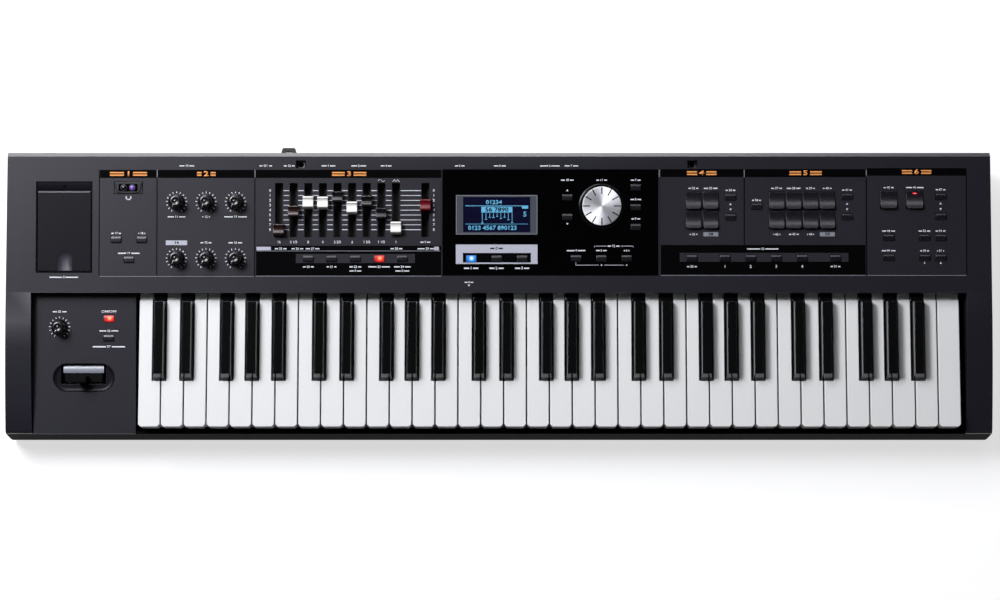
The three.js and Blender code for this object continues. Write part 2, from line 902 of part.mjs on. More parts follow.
function memoryTongue() {
  const inset = memory.socketWall / 2;
  const side = memory.socketWidth / 2 - inset;
  return box(
    memory.socketX - side, memory.socketX + side,
    memory.rear + memory.wall, memory.rear + memory.socketDepth + inset,
    -memory.socketDrop - memory.tongue, -memory.socketDrop + inset,
  );
}

function restBlocks() {
  const width = restSocket.width + restSocket.wall * 2;
  const length = restSocket.length + restSocket.wall * 2;
  return [restSocket.leftX, restSocket.rightX].map(
    (x) => slab(x, restSocket.v, width, length, -restSocket.depth, -plateDrop / 2),
  );
}

function restCuts() {
  const { v, width, length, recess, depth, boreRadius } = restSocket;
  return [restSocket.leftX, restSocket.rightX].flatMap((x) => [
    slab(x, v, width, length, -recess, overrun),
    post(x, v, -depth - overrun, overrun, boreRadius, 12),
  ]);
}

// Posts that carry the panel board under the plate.
const boardTopW = -plateDrop - panelParts.plateGap;
const boardBottomW = boardTopW - panelParts.board;

function panelPosts() {
  const radius = panelParts.postRadius;
  const rows = [panelBoardEdge.front + radius, panelBoardEdge.rear - radius];
  return panelPostX.flatMap(
    (x) => rows.map((v) => post(x, v, boardTopW + seat, -plateDrop / 2, radius, 6)),
  );
}

function topCase() {
  const below = [
    [-farY, -overrun], [farY, -overrun], [farY, split + seat], [frontWallY + seat, split + seat],
    [frontWallY + seat, casing.keyslipHeight + seat], [-farY, casing.keyslipHeight + seat],
  ];
  let body = cutFrom(casingBody(0), alongX(polygon(below), -across, across));
  const mouth = box(-cheekInner, cheekInner, -farY, panelY, -overrun, tall);
  const inside = casingBody(casing.wall);
  const lipRear = panelY + casing.wall;
  const under = inside.intersect(box(-across, across, lipRear, farY, -overrun, tall));
  const hollow = cheekInner + casing.wall;
  const lipBack = lipRear + overrun;
  const leftHollow = inside.intersect(box(-across, -hollow, -farY, lipBack, -overrun, tall));
  const rightHollow = inside.intersect(box(hollow, across, -farY, lipBack, -overrun, tall));
  const lipZ = panel.frontHeight - panel.lipHeight;
  const lipFrom = panelY - overrun;
  const keyGap = box(block.rightEdge, cheekInner, lipFrom, lipBack, -overrun, lipZ);
  const blockGap = box(-cheekInner, block.rightEdge, lipFrom, lipBack, -overrun, block.skirtHeight);
  body = cutFrom(body, mouth, under, leftHollow, rightHollow, keyGap, blockGap);
  const bossTop = panelRearZ - casing.wall / 2;
  const bosses = bossX.map((x) => post(x, rearY - boss.wallGap, split + seat, bossTop, boss.radius));
  body = joined(body, ...bosses, ...[memoryPocket(), ...restBlocks(), ...panelPosts()].map(toPanel));
  const recess = around(centre, -centre.plate - seat, overrun);
  const cuts = [...panelHoles(), recess, ...memoryCuts(), ...restCuts()].map(toPanel);
  body = cutFrom(body, ...cuts, ...rearHoles());
  return body.add(toPanel(memoryTongue()));
}

// Keybed

const lineX = (i) => keybed.leftEdge + i * keybed.pitch;
const lastWhite = whiteCount - 1;
const noteOf = (i) => noteNames[i % noteNames.length];
const sharpX = (i) => lineX(i + 1) + sharpOffsets[noteOf(i)];
const hasSharp = (i) => i >= 0 && i < lastWhite && noteOf(i) in sharpOffsets;

function tailSpan(i) {
  const cut = keybed.sharpWidth / 2 + keybed.sharpGap;
  const left = hasSharp(i - 1) ? sharpX(i - 1) + cut : lineX(i) + keybed.gap / 2;
  const right = hasSharp(i) ? sharpX(i) - cut : lineX(i + 1) - keybed.gap / 2;
  return [left, right];
}

// Plan of a white key: square front with rounded corners, cut back beside the sharps.
function whiteOutline(i, front, rear, radius) {
  const left = lineX(i) + keybed.gap / 2;
  const right = lineX(i + 1) - keybed.gap / 2;
  const [tailLeft, tailRight] = tailSpan(i);
  const notch = keyNotchY;
  const shape = new THREE.Shape();
  shape.moveTo(left + radius, front);
  shape.lineTo(right - radius, front);
  shape.quadraticCurveTo(right, front, right, front + radius);
  if (tailRight !== right) {
    shape.lineTo(right, notch);
    shape.lineTo(tailRight, notch);
  }
  shape.lineTo(tailRight, rear);
  shape.lineTo(tailLeft, rear);
  if (tailLeft !== left) {
    shape.lineTo(tailLeft, notch);
    shape.lineTo(left, notch);
  }
  shape.lineTo(left, front + radius);
  shape.quadraticCurveTo(left, front, left + radius, front);
  return shape;
}

// Each comb has its own rail, in a layer of its own, at the rear of the keys.
const layerPitch = keybed.railThickness + keybed.railGap;
const layerZ = (layer) => keybed.topHeight - keybed.pivotDrop + (layer - 1) * layerPitch;
const railBottom = (layer) => layerZ(layer) - keybed.railThickness / 2;
const railTop = (layer) => layerZ(layer) + keybed.railThickness / 2;
const railFrontY = pivotY - keybed.railFront;

const keyRear = railFrontY + keybed.tabReach;
const tailTop = keybed.topHeight - keybed.tailDrop;

function whiteKey(i, layer) {
  const top = keybed.topHeight;
  const skirtEnd = keyFrontY + keybed.skirtLength;
  const heel = keyTailY - keybed.tabReach;
  const skirtZ = top - keybed.skirtHeight;
  const side = polygon([
    [keyFrontY, skirtZ], [skirtEnd, skirtZ], [skirtEnd, keyBottomZ], [heel, keyBottomZ],
    [heel, railBottom(layer)], [keyRear, railBottom(layer)],
    [keyRear, railTop(layer)], [keyTailY, railTop(layer)],
    [keyTailY, tailTop], [keyCoverY, tailTop], [keyCoverY, top], [keyFrontY, top],
  ]);
  const plan = alongZ(whiteOutline(i, keyFrontY, keyRear, keybed.cornerRadius), 0, tall, 1);
  const body = alongX(side, lineX(i), lineX(i + 1)).intersect(plan);
  const [left, right] = tailSpan(i);
  const wall = keybed.wall;
  const inside = box(left + wall, right - wall, keyFrontY + wall, keyCoverY - wall, 0, top - keybed.plate);
  return cutFrom(body, inside);
}

function sharpKey(i, layer) {
  const x = sharpX(i);
  const top = keybed.topHeight + keybed.sharpRise;
  const front = keyNotchY + keybed.sharpFrontGap;
  const rear = panelY - keybed.sharpRearOffset;
  const shoulder = keybed.topHeight - keybed.sharpShoulder;
  const side = polygon([
    [front, keyBottomZ], [keyRear, railBottom(layer)],
    [keyRear, railTop(layer)], [keyTailY, railTop(layer)], [keyTailY, tailTop],
    [rear + keybed.sharpShoulder, tailTop], [rear, top], [front + keybed.sharpSlope, top],
    [front, shoulder],
  ]);
  const half = keybed.sharpWidth / 2;
  const topHalf = keybed.sharpTopWidth / 2;
  const face = polygon([
    [x - half, 0], [x + half, 0], [x + half, shoulder],
    [x + topHalf, top], [x - topHalf, top], [x - half, shoulder],
  ]);
  const body = alongX(side, x - half, x + half).intersect(alongY(face, front, keyRear));
  const wall = keybed.wall;
  const inner = topHalf - wall / 2;
  const innerFront = front + wall + keybed.sharpSlope;
  return cutFrom(body, box(x - inner, x + inner, innerFront, rear - wall, 0, top - keybed.plate * 2));
}

const railRearY = pivotY + keybed.railRear;

function comb(octave, layer, keys) {
  const first = octave * noteNames.length;
  const left = lineX(first) + keybed.gap / 2;
  const right = lineX(first + noteNames.length) - keybed.gap / 2;
  const rail = box(left, right, railFrontY, railRearY, railBottom(layer), railTop(layer));
  return joined(rail, ...keys);
}

function placeKeys() {
  for (let octave = 0; octave < keybed.octaves; octave += 1) {
    const number = octave + 1;
    const first = octave * noteNames.length;
    const notes = noteNames.map((note, n) => ({ note, i: first + n }));
    const pick = (letters) => notes.filter(({ note }) => letters.includes(note));
    const outerWhites = pick('CEGB').map(({ i }) => whiteKey(i, 0));
    const innerWhites = pick('DFA').map(({ i }) => whiteKey(i, 1));
    const sharps = notes.filter(({ i }) => hasSharp(i)).map(({ i }) => sharpKey(i, 2));
    place(`keys_c_e_g_b_${number}`, comb(octave, 0, outerWhites), materials.ivory);
    place(`keys_d_f_a_${number}`, comb(octave, 1, innerWhites), materials.ivory);
    place(`keys_sharps_${number}`, comb(octave, 2, sharps), materials.ebony);
  }
  const [left, right] = tailSpan(lastWhite);
  const rail = box(left, right, railFrontY, railRearY, railBottom(0), railTop(0));
  place('key_top_c', joined(whiteKey(lastWhite, 0), rail), materials.ivory);
}

// A pressed sheet frame with a shelf under the key rails and a guide inside each key.
function keybedChassis() {
  const sheet = chassis.sheet;
  const low = foot.height + casing.wall + ribs.height + seat;
  const front = keyFrontY + chassis.frontGap;
  const riser = front + chassis.flange;
  const plate = chassis.plateHeight;
  const shelfZ = railBottom(0) - seat;
  const lowShelfZ = shelfZ - chassis.shelfDrop;
  const stepY = pivotY - chassis.shelfFront;
  const rear = railRearY;
  const back = pivotY - chassis.riserGap;
  const outline = polygon([
    [front, low], [riser, low], [riser, plate - sheet],
    [back, plate - sheet], [back, lowShelfZ - sheet], [rear - sheet, lowShelfZ - sheet],
    [rear - sheet, low], [rear, low], [rear, shelfZ], [stepY, shelfZ],
    [stepY - chassis.shelfDrop, lowShelfZ], [back - sheet, lowShelfZ],
    [back - sheet, plate], [riser - sheet, plate], [riser - sheet, low + sheet], [front, low + sheet],
  ]);
  const pieces = [alongX(outline, keybed.leftEdge + keybed.gap, keysRight - keybed.gap)];
  const guideY = keyFrontY + chassis.guideInset;
  for (let i = 0; i <= lastWhite; i += 1) {
    const [left, right] = tailSpan(i);
    const x = (left + right) / 2;
    const width = right - left - (keybed.wall + chassis.guideGap) * 2;
    const top = plate - sheet + chassis.guideHeight;
    pieces.push(slab(x, guideY, width, chassis.guideLength, low, top));
  }
  return joined(...pieces);
}

function contactBoardSolid() {
  const front = keyFrontY + contactBoard.frontOffset;
  const middle = front + contactBoard.length / 2;
  const low = chassis.plateHeight + seat;
  const top = low + contactBoard.thickness;
  const left = keybed.leftEdge + keybed.gap;
  const right = keysRight - keybed.gap;
  const board = box(left, right, front, front + contactBoard.length, low, top);
  const half = contactBoard.stripWidth / 2;
  const root = top - contactBoard.thickness / 2;
  const crest = top + contactBoard.stripHeight;
  const strip = polygon([
    [middle - half, root], [middle + half, root], [middle + half, top],
    [middle + half / 2, crest], [middle - half / 2, crest], [middle - half, top],
  ]);
  return board.add(alongX(strip, left, right));
}

// Panel furniture

// A cap with its top edges bevelled where the cap is tall enough to have them.
function capSolid([x, v], size) {
  const edge = size.chamfer;
  const w = size.width / 2 - edge;
  const l = size.length / 2 - edge;
  const outline = polygon([[x - w, v - l], [x + w, v - l], [x + w, v + l], [x - w, v + l]]);
  const geometry = new THREE.ExtrudeGeometry(outline, {
    depth: size.height + plateDrop + panelParts.carrierDrop - edge * 2,
    bevelEnabled: edge > 0, bevelSize: edge, bevelThickness: edge, bevelSegments: 1,
  });
  geometry.translate(0, 0, -plateDrop - panelParts.carrierDrop + edge);
  return solid(geometry);
}

// The caps of a section stand on one carrier under the plate.
function buttonSet(set) {
  const top = -plateDrop - panelParts.carrierDrop + panelParts.carrier;
  const bottom = top - panelParts.carrier;
  const plates = set.carriers.map(([x0, x1, v0, v1]) => box(x0, x1, v0, v1, bottom, top));
  const caps = [
    ...set.caps.map((spot) => capSolid(spot, button)),
    ...set.tall.map((spot) => capSolid(spot, toneButton)),
    ...set.broad.map((spot) => capSolid(spot, drumButton)),
  ];
  return joined(...plates, ...caps);
}

function knobSolid([x, v], sides = 12) {
  const base = knob.float;
  const top = base + knob.height;
  const outline = [
    [0, -knob.shaftLength], [knob.shaftRadius, -knob.shaftLength], [knob.shaftRadius, base],
    [knob.skirtRadius, base], [knob.skirtRadius, base + knob.skirtHeight / 2],
    [knob.bodyRadius, base + knob.skirtHeight],
    [knob.topRadius, top - knob.dish], [knob.topRadius - knob.dish, top], [0, top],
  ];
  const body = turned(outline, x, v, sides);
  const half = knob.pointerWidth / 2;
  const grooveFloor = top - knob.dish - knob.pointerDepth;
  const groove = box(-half, half, 0, knob.skirtRadius + overrun, grooveFloor, top + overrun);
  return cutFrom(body, groove.rotate([0, 0, knob.restTurn]).translate([x, v, 0]));
}

function dialSolid() {
  const [x, v] = dialPlace;
  const base = knob.float;
  const top = base + dial.height;
  const outline = [
    [0, -dial.shaftLength], [dial.shaftRadius, -dial.shaftLength], [dial.shaftRadius, base],
    [dial.skirtRadius, base], [dial.skirtRadius, base + dial.skirtHeight / 2],
    [dial.radius, base + dial.skirtHeight],
    [dial.radius, top - dial.dish], [dial.topRadius, top], [0, top],
  ];
  return turned(outline, x, v, 24);
}

// A drawbar: dished cap, stem through the slot and a carriage on the slide control under it.
function drawbarSolid(x, v) {
  const half = drawbar.capLength / 2;
  const low = drawbar.float;
  const high = low + drawbar.crownHeight;
  const waist = low + drawbar.capWaist;
  const side = new THREE.Shape();
  side.moveTo(v - half, low);
  side.lineTo(v + half, low);
  side.lineTo(v + half * drawbar.waistShare, waist);
  side.lineTo(v + half * drawbar.crownShare, high);
  side.quadraticCurveTo(v + half * drawbar.dishShare, waist - low, v - half * drawbar.fallShare, high - low);
  side.lineTo(v - half, drawbar.lipHeight);
  side.closePath();
  const cap = alongX(side, x - drawbar.capWidth / 2, x + drawbar.capWidth / 2, 4);
  const carriageTop = boardTopW + seat + drawbar.carriageHeight * 2;
  const carriageLow = carriageTop - drawbar.carriageHeight;
  const stem = slab(x, v, drawbar.stemWidth, drawbar.stemLength, carriageTop - seat, low + seat);
  const carriage = slab(x, v, drawbar.carriageWidth, drawbar.carriageLength, carriageLow, carriageTop);
  return joined(cap, stem, carriage);
}

function panelBoard() {
  const edge = panelBoardEdge;
  const board = box(edge.left, edge.right, edge.front, edge.rear, boardBottomW, boardTopW);
  const root = boardTopW - panelParts.board / 2;
  const slideTop = boardTopW + drawbar.carriageHeight;
  const slideLength = slotLength + drawbar.potMargin * 2;
  const slides = slotX.map((x) => slab(x, slotV, drawbar.potWidth, slideLength, root, slideTop));
  const potSize = knob.bodyRadius * 2;
  const potTop = -knob.shaftLength - seat;
  const pots = Object.values(effectsKnobs).map(([x, v]) => slab(x, v, potSize, potSize, root, potTop));
  const encoderSize = dial.shaftRadius * 4;
  const [x, v] = dialPlace;
  const encoder = slab(x, v, encoderSize, encoderSize, root, -dial.shaftLength - seat);
  return joined(board, ...slides, ...pots, encoder);
}

function centrePanel() {
  const plate = box(centre.left, centre.right, centre.front, centre.rear, -centre.plate, 0);
  const holes = capHoles(buttonSets.centre_buttons, overrun, -overrun);
  const opening = around(display, -overrun, overrun);
  const shaft = post(dialPlace[0], dialPlace[1], -overrun, overrun, dial.shaftRadius + panelParts.holeGap);
  return cutFrom(plate, ...holes, opening, shaft);
}

function displayModule() {
  const { left, right, front, rear, depth, height } = display;
  const body = box(left, right, front, rear, -depth, height);
  const screen = box(
    display.screenLeft, display.screenRight, display.screenFront, display.screenRear,
    display.height - display.screenDepth, overrun,
  );
  return cutFrom(body, screen);
}

// The bar fills its opening, and the hood on it draws in towards the player.
function beamWindow() {
  const bar = box(beam.left, beam.right, beam.front, beam.rear, -beam.depth, seat);
  const middle = (beam.front + beam.rear) / 2;
  const hood = new THREE.Shape();
  const shoulder = beam.shoulder;
  const corner = beam.front + beam.cornerRise;
  hood.moveTo(beam.left, beam.rear);
  hood.quadraticCurveTo(beam.left, middle, beam.left + shoulder, corner);
  hood.lineTo(beam.left + shoulder * 2, beam.front);
  hood.lineTo(beam.right - shoulder * 2, beam.front);
  hood.lineTo(beam.right - shoulder, corner);
  hood.quadraticCurveTo(beam.right, middle, beam.right, beam.rear);
  hood.closePath();
  const brow = alongZ(hood, 0, beam.height, 5);
  const crest = beam.height + beam.lensHeight;
  const dome = [
    [0, 0], [beam.lensRadius, 0], [beam.lensRadius, beam.height], [beam.lensRadius / 2, crest],
    [0, crest],
  ];
  const lens = (x) => turned(dome, x, middle, 12);
  return joined(bar, brow, lens(beam.firstEyeX), lens(beam.secondEyeX));
}

function memoryCover() {
  const half = memory.lid / 2;
  const left = memory.left + seat;
  const right = memory.right - seat;
  const plate = box(left, right, memory.front + seat, lidAxisV, lidAxisW - half, lidAxisW + half);
  const roll = barX(left, right, lidAxisV, lidAxisW, half);
  const pinEnd = memory.pinReach;
  const pins = barX(left - pinEnd, right + pinEnd, lidAxisV, lidAxisW, memory.pinRadius);
  const x = memory.notchX;
  const radius = memory.notchWidth / 2;
  const end = memory.front + memory.notchLength - radius;
  const low = lidAxisW - overrun;
  const slot = box(x - radius, x + radius, memory.front - overrun, end, low, overrun);
  const round = post(x, end, low, overrun, radius);
  return cutFrom(joined(plate, roll, pins), slot, round);
}

// Controller block left of the keys

function pillOutline() {
  const radius = (block.pillRear - block.pillFront) / 2;
  const middle = (block.pillRear + block.pillFront) / 2;
  const left = block.pillLeft + radius;
  const right = block.pillRight - radius;
  const shape = new THREE.Shape();
  shape.absarc(right, middle, radius, -Math.PI / 2, Math.PI / 2, false);
  shape.absarc(left, middle, radius, Math.PI / 2, Math.PI * 1.5, false);
  return shape;
}

function controllerBlock() {
  const rear = panelY - seat;
  const slope = (block.rearHeight - block.frontHeight) / block.frontReach;
  const topAt = (y) => block.rearHeight + (y - panelY) * slope;
  const faceLow = foot.height + casing.bottomChamfer;
  const lean = casing.frontLean / (cheek.frontHeight - foot.height);
  const face = (z) => frontY + (z - faceLow) * lean;
  const ledge = casing.keyslipHeight + seat;
  const frontTop = face(block.frontHeight);
  const wall = block.wall;
  const behindLip = frontWallY + seat;
  const outer = polygon([
    [face(ledge), ledge], [behindLip, ledge], [behindLip, block.skirtHeight], [rear, block.skirtHeight],
    [rear, topAt(rear)], [frontTop, topAt(frontTop)],
  ]);
  const inner = polygon([
    [behindLip + wall, -overrun], [rear - wall, -overrun], [rear - wall, topAt(rear - wall) - wall],
    [behindLip + wall, topAt(behindLip + wall) - wall],
  ]);
  const right = block.rightEdge - seat;
  let body = cutFrom(alongX(outer, blockLeft, right), alongX(inner, blockLeft + wall, right - wall));
  const potSize = knob.bodyRadius * 2;
  const x = block.volumeX;
  const v = block.volumeV;
  const potBox = slab(x, v, potSize, potSize, -knob.shaftLength - wall, -wall / 2);
  const pin = post(bender.x, bender.pivotV, -bender.pinLength, -wall / 2, bender.pinRadius);
  body = joined(body, toBlock(potBox), toBlock(pin));
  const shaft = post(x, v, -knob.shaftLength - seat, overrun, knob.shaftRadius + panelParts.holeGap);
  const pill = alongZ(pillOutline(), -block.pillDepth, overrun, 6);
  const low = -wall - overrun;
  const mouth = box(block.mouthLeft, block.mouthRight, block.mouthFront, block.mouthRear, low, overrun);
  const cuts = [shaft, pill, mouth, ...capHoles(rotaryButtons, overrun, low)];
  return cutFrom(body, ...cuts.map(toBlock));
}

// The bender turns about a pin square to the face, and its lever tilts in the frame's two arms.
function benderFrame() {
  const x = bender.x;
  const hubLow = -bender.hubTop - bender.hubHeight;
  const hub = post(x, bender.pivotV, hubLow, -bender.hubTop, bender.hubRadius);
  const bore = post(x, bender.pivotV, hubLow - overrun, overrun, bender.pinRadius + seat);
  const axleW = -bender.tiltDrop;
  const reach = bender.barrelRadius;
  const inner = bender.armSpan;
  const outer = bender.armSpan + bender.armWidth;
  const rear = bender.pivotV - bender.hubRadius / 2;
  const bridgeFront = rear - bender.armWidth;
  const bridge = box(x - outer, x + outer, bridgeFront, rear, axleW - reach, axleW + reach);
  const arm = (side) => box(
    x + (side < 0 ? -outer : inner), x + (side < 0 ? -inner : outer),
    bender.tiltV - reach, rear, axleW - reach, axleW + reach,
  );
  const eye = barX(x - outer - overrun, x + outer + overrun, bender.tiltV, axleW, bender.axleRadius + seat);
  return cutFrom(joined(hub, bridge, arm(-1), arm(1)), bore, eye);
}

function benderLever() {
  const x = bender.x;
  const axleW = -bender.tiltDrop;
  const outer = bender.armSpan + bender.armWidth;
  const axle = barX(x - outer, x + outer, bender.tiltV, axleW, bender.axleRadius);
  const barrelHalf = bender.armSpan - seat;
  const barrel = barX(x - barrelHalf, x + barrelHalf, bender.tiltV, axleW, bender.barrelRadius);
  const half = bender.stickWidth / 2;
  const front = bender.stickV - bender.stickLength / 2;
  const back = bender.stickV + bender.stickLength / 2;
  const tip = bender.stickTip;
  const top = bender.stickHeight;
  const stick = alongX(polygon([
    [front, axleW], [back, axleW], [back, top - tip],
    [back - tip, top], [front + tip, top], [front, top - tip],
  ]), x - half, x + half);
  const high = -bender.shutterTop;
  const low = high - bender.shutterThickness;
  const span = bender.shutterWidth / 2;
  const shutter = box(x - span, x + span, bender.shutterFront, bender.shutterRear, low, high);
  const webEnd = bender.shutterFront + bender.webLength;
  const web = box(x - half, x + half, bender.stickV, webEnd, low, high);
  return joined(axle, barrel, stick, shutter, web);
}

// Rear and underside

function cordHook() {
  const half = hook.width / 2;
  const tip = hook.tipWidth / 2;
  const y0 = rearY + seat;
  const y1 = rearY + hook.reach;
  const corner = (hook.width - hook.tipWidth) / 2;
  const shape = new THREE.Shape();
  shape.moveTo(hook.x - half, y0);
  shape.lineTo(hook.x + half, y0);
  shape.lineTo(hook.x + tip, y1 - corner);
  shape.quadraticCurveTo(hook.x + tip, y1, hook.x + tip - corner, y1);
  shape.lineTo(hook.x - tip + corner, y1);
  shape.quadraticCurveTo(hook.x - tip, y1, hook.x - tip, y1 - corner);
  shape.closePath();
  const lug = alongZ(shape, hook.z - hook.height / 2, hook.z + hook.height / 2, 4);
  const slot = hook.slotWidth / 2;
  const slotY = y1 - hook.slotReach;
  const groove = box(hook.x - slot, hook.x + slot, slotY - hook.slotReach / 2, slotY, 0, tall);
  return cutFrom(lug, groove);
}

function powerButton() {
  const middle = rearY + power.reach - power.length / 2;
  const rise = power.height / 2;
  return slab(power.x, middle, power.width, power.length, jack.z - rise, jack.z + rise);
}

function footSolid(x, y) {
  const top = foot.height - seat;
  const outline = [[0, 0], [foot.tipRadius, 0], [foot.radius, top / 2], [foot.radius, top], [0, top]];
  return turned(outline, x, y, 12);
}

// The instrument

place('lower_case', lowerCase(), materials.black);
place('top_case', topCase(), materials.shell);
place('controller_block', controllerBlock(), materials.shell);
place('keybed_chassis', keybedChassis(), materials.steel);
place('contact_board', contactBoardSolid(), materials.board);
place('main_board', mainBoardSolid(), materials.board);
place('cord_hook', cordHook(), materials.steel);
place('power_button', powerButton(), materials.black);

const footX = halfWidth - foot.insetX;
place('foot_front_left', footSolid(-footX, frontY + foot.insetY), materials.rubber);
place('foot_front_right', footSolid(footX, frontY + foot.insetY), materials.rubber);
place('foot_rear_left', footSolid(-footX, rearY - foot.insetY), materials.rubber);
place('foot_rear_right', footSolid(footX, rearY - foot.insetY), materials.rubber);

placeKeys();

place('panel_board', panelBoard(), materials.board, panelGroup);
place('centre_panel', centrePanel(), materials.gloss, panelGroup);
place('display_module', displayModule(), materials.frame, panelGroup);
place('beam_window', beamWindow(), materials.lens, panelGroup);
place('memory_cover', memoryCover(), materials.shell, panelGroup);
place('value_dial', dialSolid(), materials.aluminium, panelGroup);

for (const [name, set] of Object.entries(buttonSets)) {
  place(name, buttonSet(set), materials.button, panelGroup);
}

for (const [name, spot] of Object.entries(effectsKnobs)) {
  place(name, knobSolid(spot), materials.black, panelGroup);
}

const capMaterials = ['brown', 'brown', 'white', 'white', 'black', 'white', 'black', 'black', 'white'];
drawbarSettings.forEach((setting, i) => {
  const body = drawbarSolid(drawbarX(i), drawbarV(setting));
  place(`drawbar_${i + 1}`, body, materials[capMaterials[i]], panelGroup);
});
place('level_slider', drawbarSolid(drawbar.levelX, drawbarV(levelSetting)), materials.red, panelGroup);

place('rotary_buttons', buttonSet(rotaryButtons), materials.button, blockGroup);
place('volume_knob', knobSolid([block.volumeX, block.volumeV]), materials.black, blockGroup);
place('bender_frame', benderFrame(), materials.black, blockGroup);
place('bender_lever', benderLever(), materials.silver, blockGroup);

export default instrument;
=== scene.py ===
"""Looks of a combo organ: its finishes, its prints and its fine pieces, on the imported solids.

Sizes are millimetres until a piece is made, and the scene is in metres. X runs along the keys to the
right, -Y points at the player and Z is up.
"""

from __future__ import annotations

import json
import logging
import math
from dataclasses import dataclass
from enum import Enum
from typing import Any, Iterable, Sequence

import bmesh
import bpy
from mathutils import Matrix, Vector

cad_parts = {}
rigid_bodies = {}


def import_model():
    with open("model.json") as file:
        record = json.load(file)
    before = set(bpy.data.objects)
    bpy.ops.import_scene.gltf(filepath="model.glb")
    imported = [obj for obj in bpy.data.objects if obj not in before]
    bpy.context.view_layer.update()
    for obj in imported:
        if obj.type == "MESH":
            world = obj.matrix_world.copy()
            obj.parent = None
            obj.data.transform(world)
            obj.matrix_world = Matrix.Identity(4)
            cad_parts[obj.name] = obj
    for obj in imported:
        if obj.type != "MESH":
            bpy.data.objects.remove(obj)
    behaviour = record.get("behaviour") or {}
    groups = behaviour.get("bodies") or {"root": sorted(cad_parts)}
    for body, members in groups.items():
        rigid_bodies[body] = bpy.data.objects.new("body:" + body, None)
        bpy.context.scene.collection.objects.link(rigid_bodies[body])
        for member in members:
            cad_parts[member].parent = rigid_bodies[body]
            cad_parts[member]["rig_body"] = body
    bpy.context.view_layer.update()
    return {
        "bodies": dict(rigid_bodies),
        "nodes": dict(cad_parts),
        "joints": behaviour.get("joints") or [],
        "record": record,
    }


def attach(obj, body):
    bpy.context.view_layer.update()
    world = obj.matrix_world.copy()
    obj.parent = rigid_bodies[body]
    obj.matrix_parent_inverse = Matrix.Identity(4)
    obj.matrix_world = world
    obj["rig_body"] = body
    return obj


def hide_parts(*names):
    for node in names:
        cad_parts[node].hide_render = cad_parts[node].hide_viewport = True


LOG = logging.getLogger("combo_organ")
MM = 0.001
SPOT_MM = 0.002
CASE_BODY = "casework"

Point = tuple[float, float]
Spot = tuple[float, float, float]
Box = tuple[float, float, float, float]
Color = tuple[float, float, float, float]


def linear(code: str) -> Color:
    """Turn an sRGB hex value into Blender's linear colour.

    Args:
        code: Six hex digits after a hash sign.

    Returns:
        Linear red, green and blue, with an alpha of one.
    """
    parts = [int(code[i : i + 2], 16) / 255 for i in (1, 3, 5)]
    red, green, blue = [c / 12.92 if c <= 0.04045 else ((c + 0.055) / 1.055) ** 2.4 for c in parts]
    return (red, green, blue, 1.0)


def add(tree: bpy.types.NodeTree, kind: str, links: dict[Any, Any] | None = None,
        **settings: Any) -> bpy.types.Node:
    """Add one node with its settings and links.

    Args:
        tree: The material's or the world's node tree.
        kind: The node's type.
        links: Input names or numbers, each with an output to join or a plain value.
        settings: The node's own properties.

    Returns:
        The new node.
    """
    made = tree.nodes.new(kind)
    for name, value in settings.items():
        setattr(made, name, value)
    for socket, source in (links or {}).items():
        if isinstance(source, bpy.types.NodeSocket):
            tree.links.new(source, made.inputs[socket])
        else:
            made.inputs[socket].default_value = source
    return made


def toned(code: str, share: float) -> Color:
    """Return a share of an sRGB hex colour's light, as a linear colour."""
    return tuple(min(1.0, c * share) for c in linear(code)[:3]) + (1.0,)


def here(tree: bpy.types.NodeTree) -> bpy.types.NodeSocket:
    """Add the object's own coordinates, and return their output."""
    return add(tree, "ShaderNodeTexCoord").outputs["Object"]


def noise(tree: bpy.types.NodeTree, place: bpy.types.NodeSocket, size_mm: float,
          detail: float) -> bpy.types.NodeSocket:
    """Add a noise of one size over a place, and return its value."""
    links = {"Vector": place, "Scale": 1 / (size_mm * MM), "Detail": detail}
    return add(tree, "ShaderNodeTexNoise", links).outputs["Fac"]


def ranged(tree: bpy.types.NodeTree, value: bpy.types.NodeSocket, start: Point = (0.0, 1.0),
           end: Point = (0.0, 1.0)) -> bpy.types.NodeSocket:
    """Carry a value from one range to another, held inside it, and return the result."""
    links = {"Value": value, "From Min": start[0], "From Max": start[1], "To Min": end[0], "To Max": end[1]}
    return add(tree, "ShaderNodeMapRange", links).outputs[0]


def blended(tree: bpy.types.NodeTree, share: bpy.types.NodeSocket, first: Color,
            second: Color) -> bpy.types.NodeSocket:
    """Blend two colours by a value, and return the result."""
    return add(tree, "ShaderNodeMix", {0: share, 6: first, 7: second}, data_type="RGBA").outputs[2]


def bumped(tree: bpy.types.NodeTree, height: bpy.types.NodeSocket, depth_mm: float,
           **links: bpy.types.NodeSocket) -> bpy.types.NodeSocket:
    """Turn a height into a bent normal, and return it."""
    return add(tree, "ShaderNodeBump", {"Height": height, "Distance": depth_mm * MM} | links).outputs[0]


def distance(tree: bpy.types.NodeTree, spot_mm: Spot) -> bpy.types.NodeSocket:
    """Measure how far the surface is from a place, and return the value in metres."""
    links = {0: here(tree), 1: tuple(c * MM for c in spot_mm)}
    return add(tree, "ShaderNodeVectorMath", links, operation="DISTANCE").outputs["Value"]


# Finishes


@dataclass(frozen=True)
class Finish:
    """What every finish has: a name, an sRGB colour and how rough its surface is."""

    name: str
    color: str
    roughness: float

    def material(self) -> bpy.types.Material:
        """Return this finish's material, made once and then shared."""
        known = bpy.data.materials.get(self.name)
        if known:
            return known
        made = bpy.data.materials.new(self.name)
        made.use_nodes = True
        tree = made.node_tree
        tree.nodes.clear()
        shader = self.dress(tree)
        add(tree, "ShaderNodeOutputMaterial", {"Surface": shader.outputs[0]})
        return made

    def dress(self, tree: bpy.types.NodeTree) -> bpy.types.Node:
        """Add the finish's nodes.

        Args:
            tree: The material's empty node tree.

        Returns:
            The node that gives the surface.
        """
        raise NotImplementedError


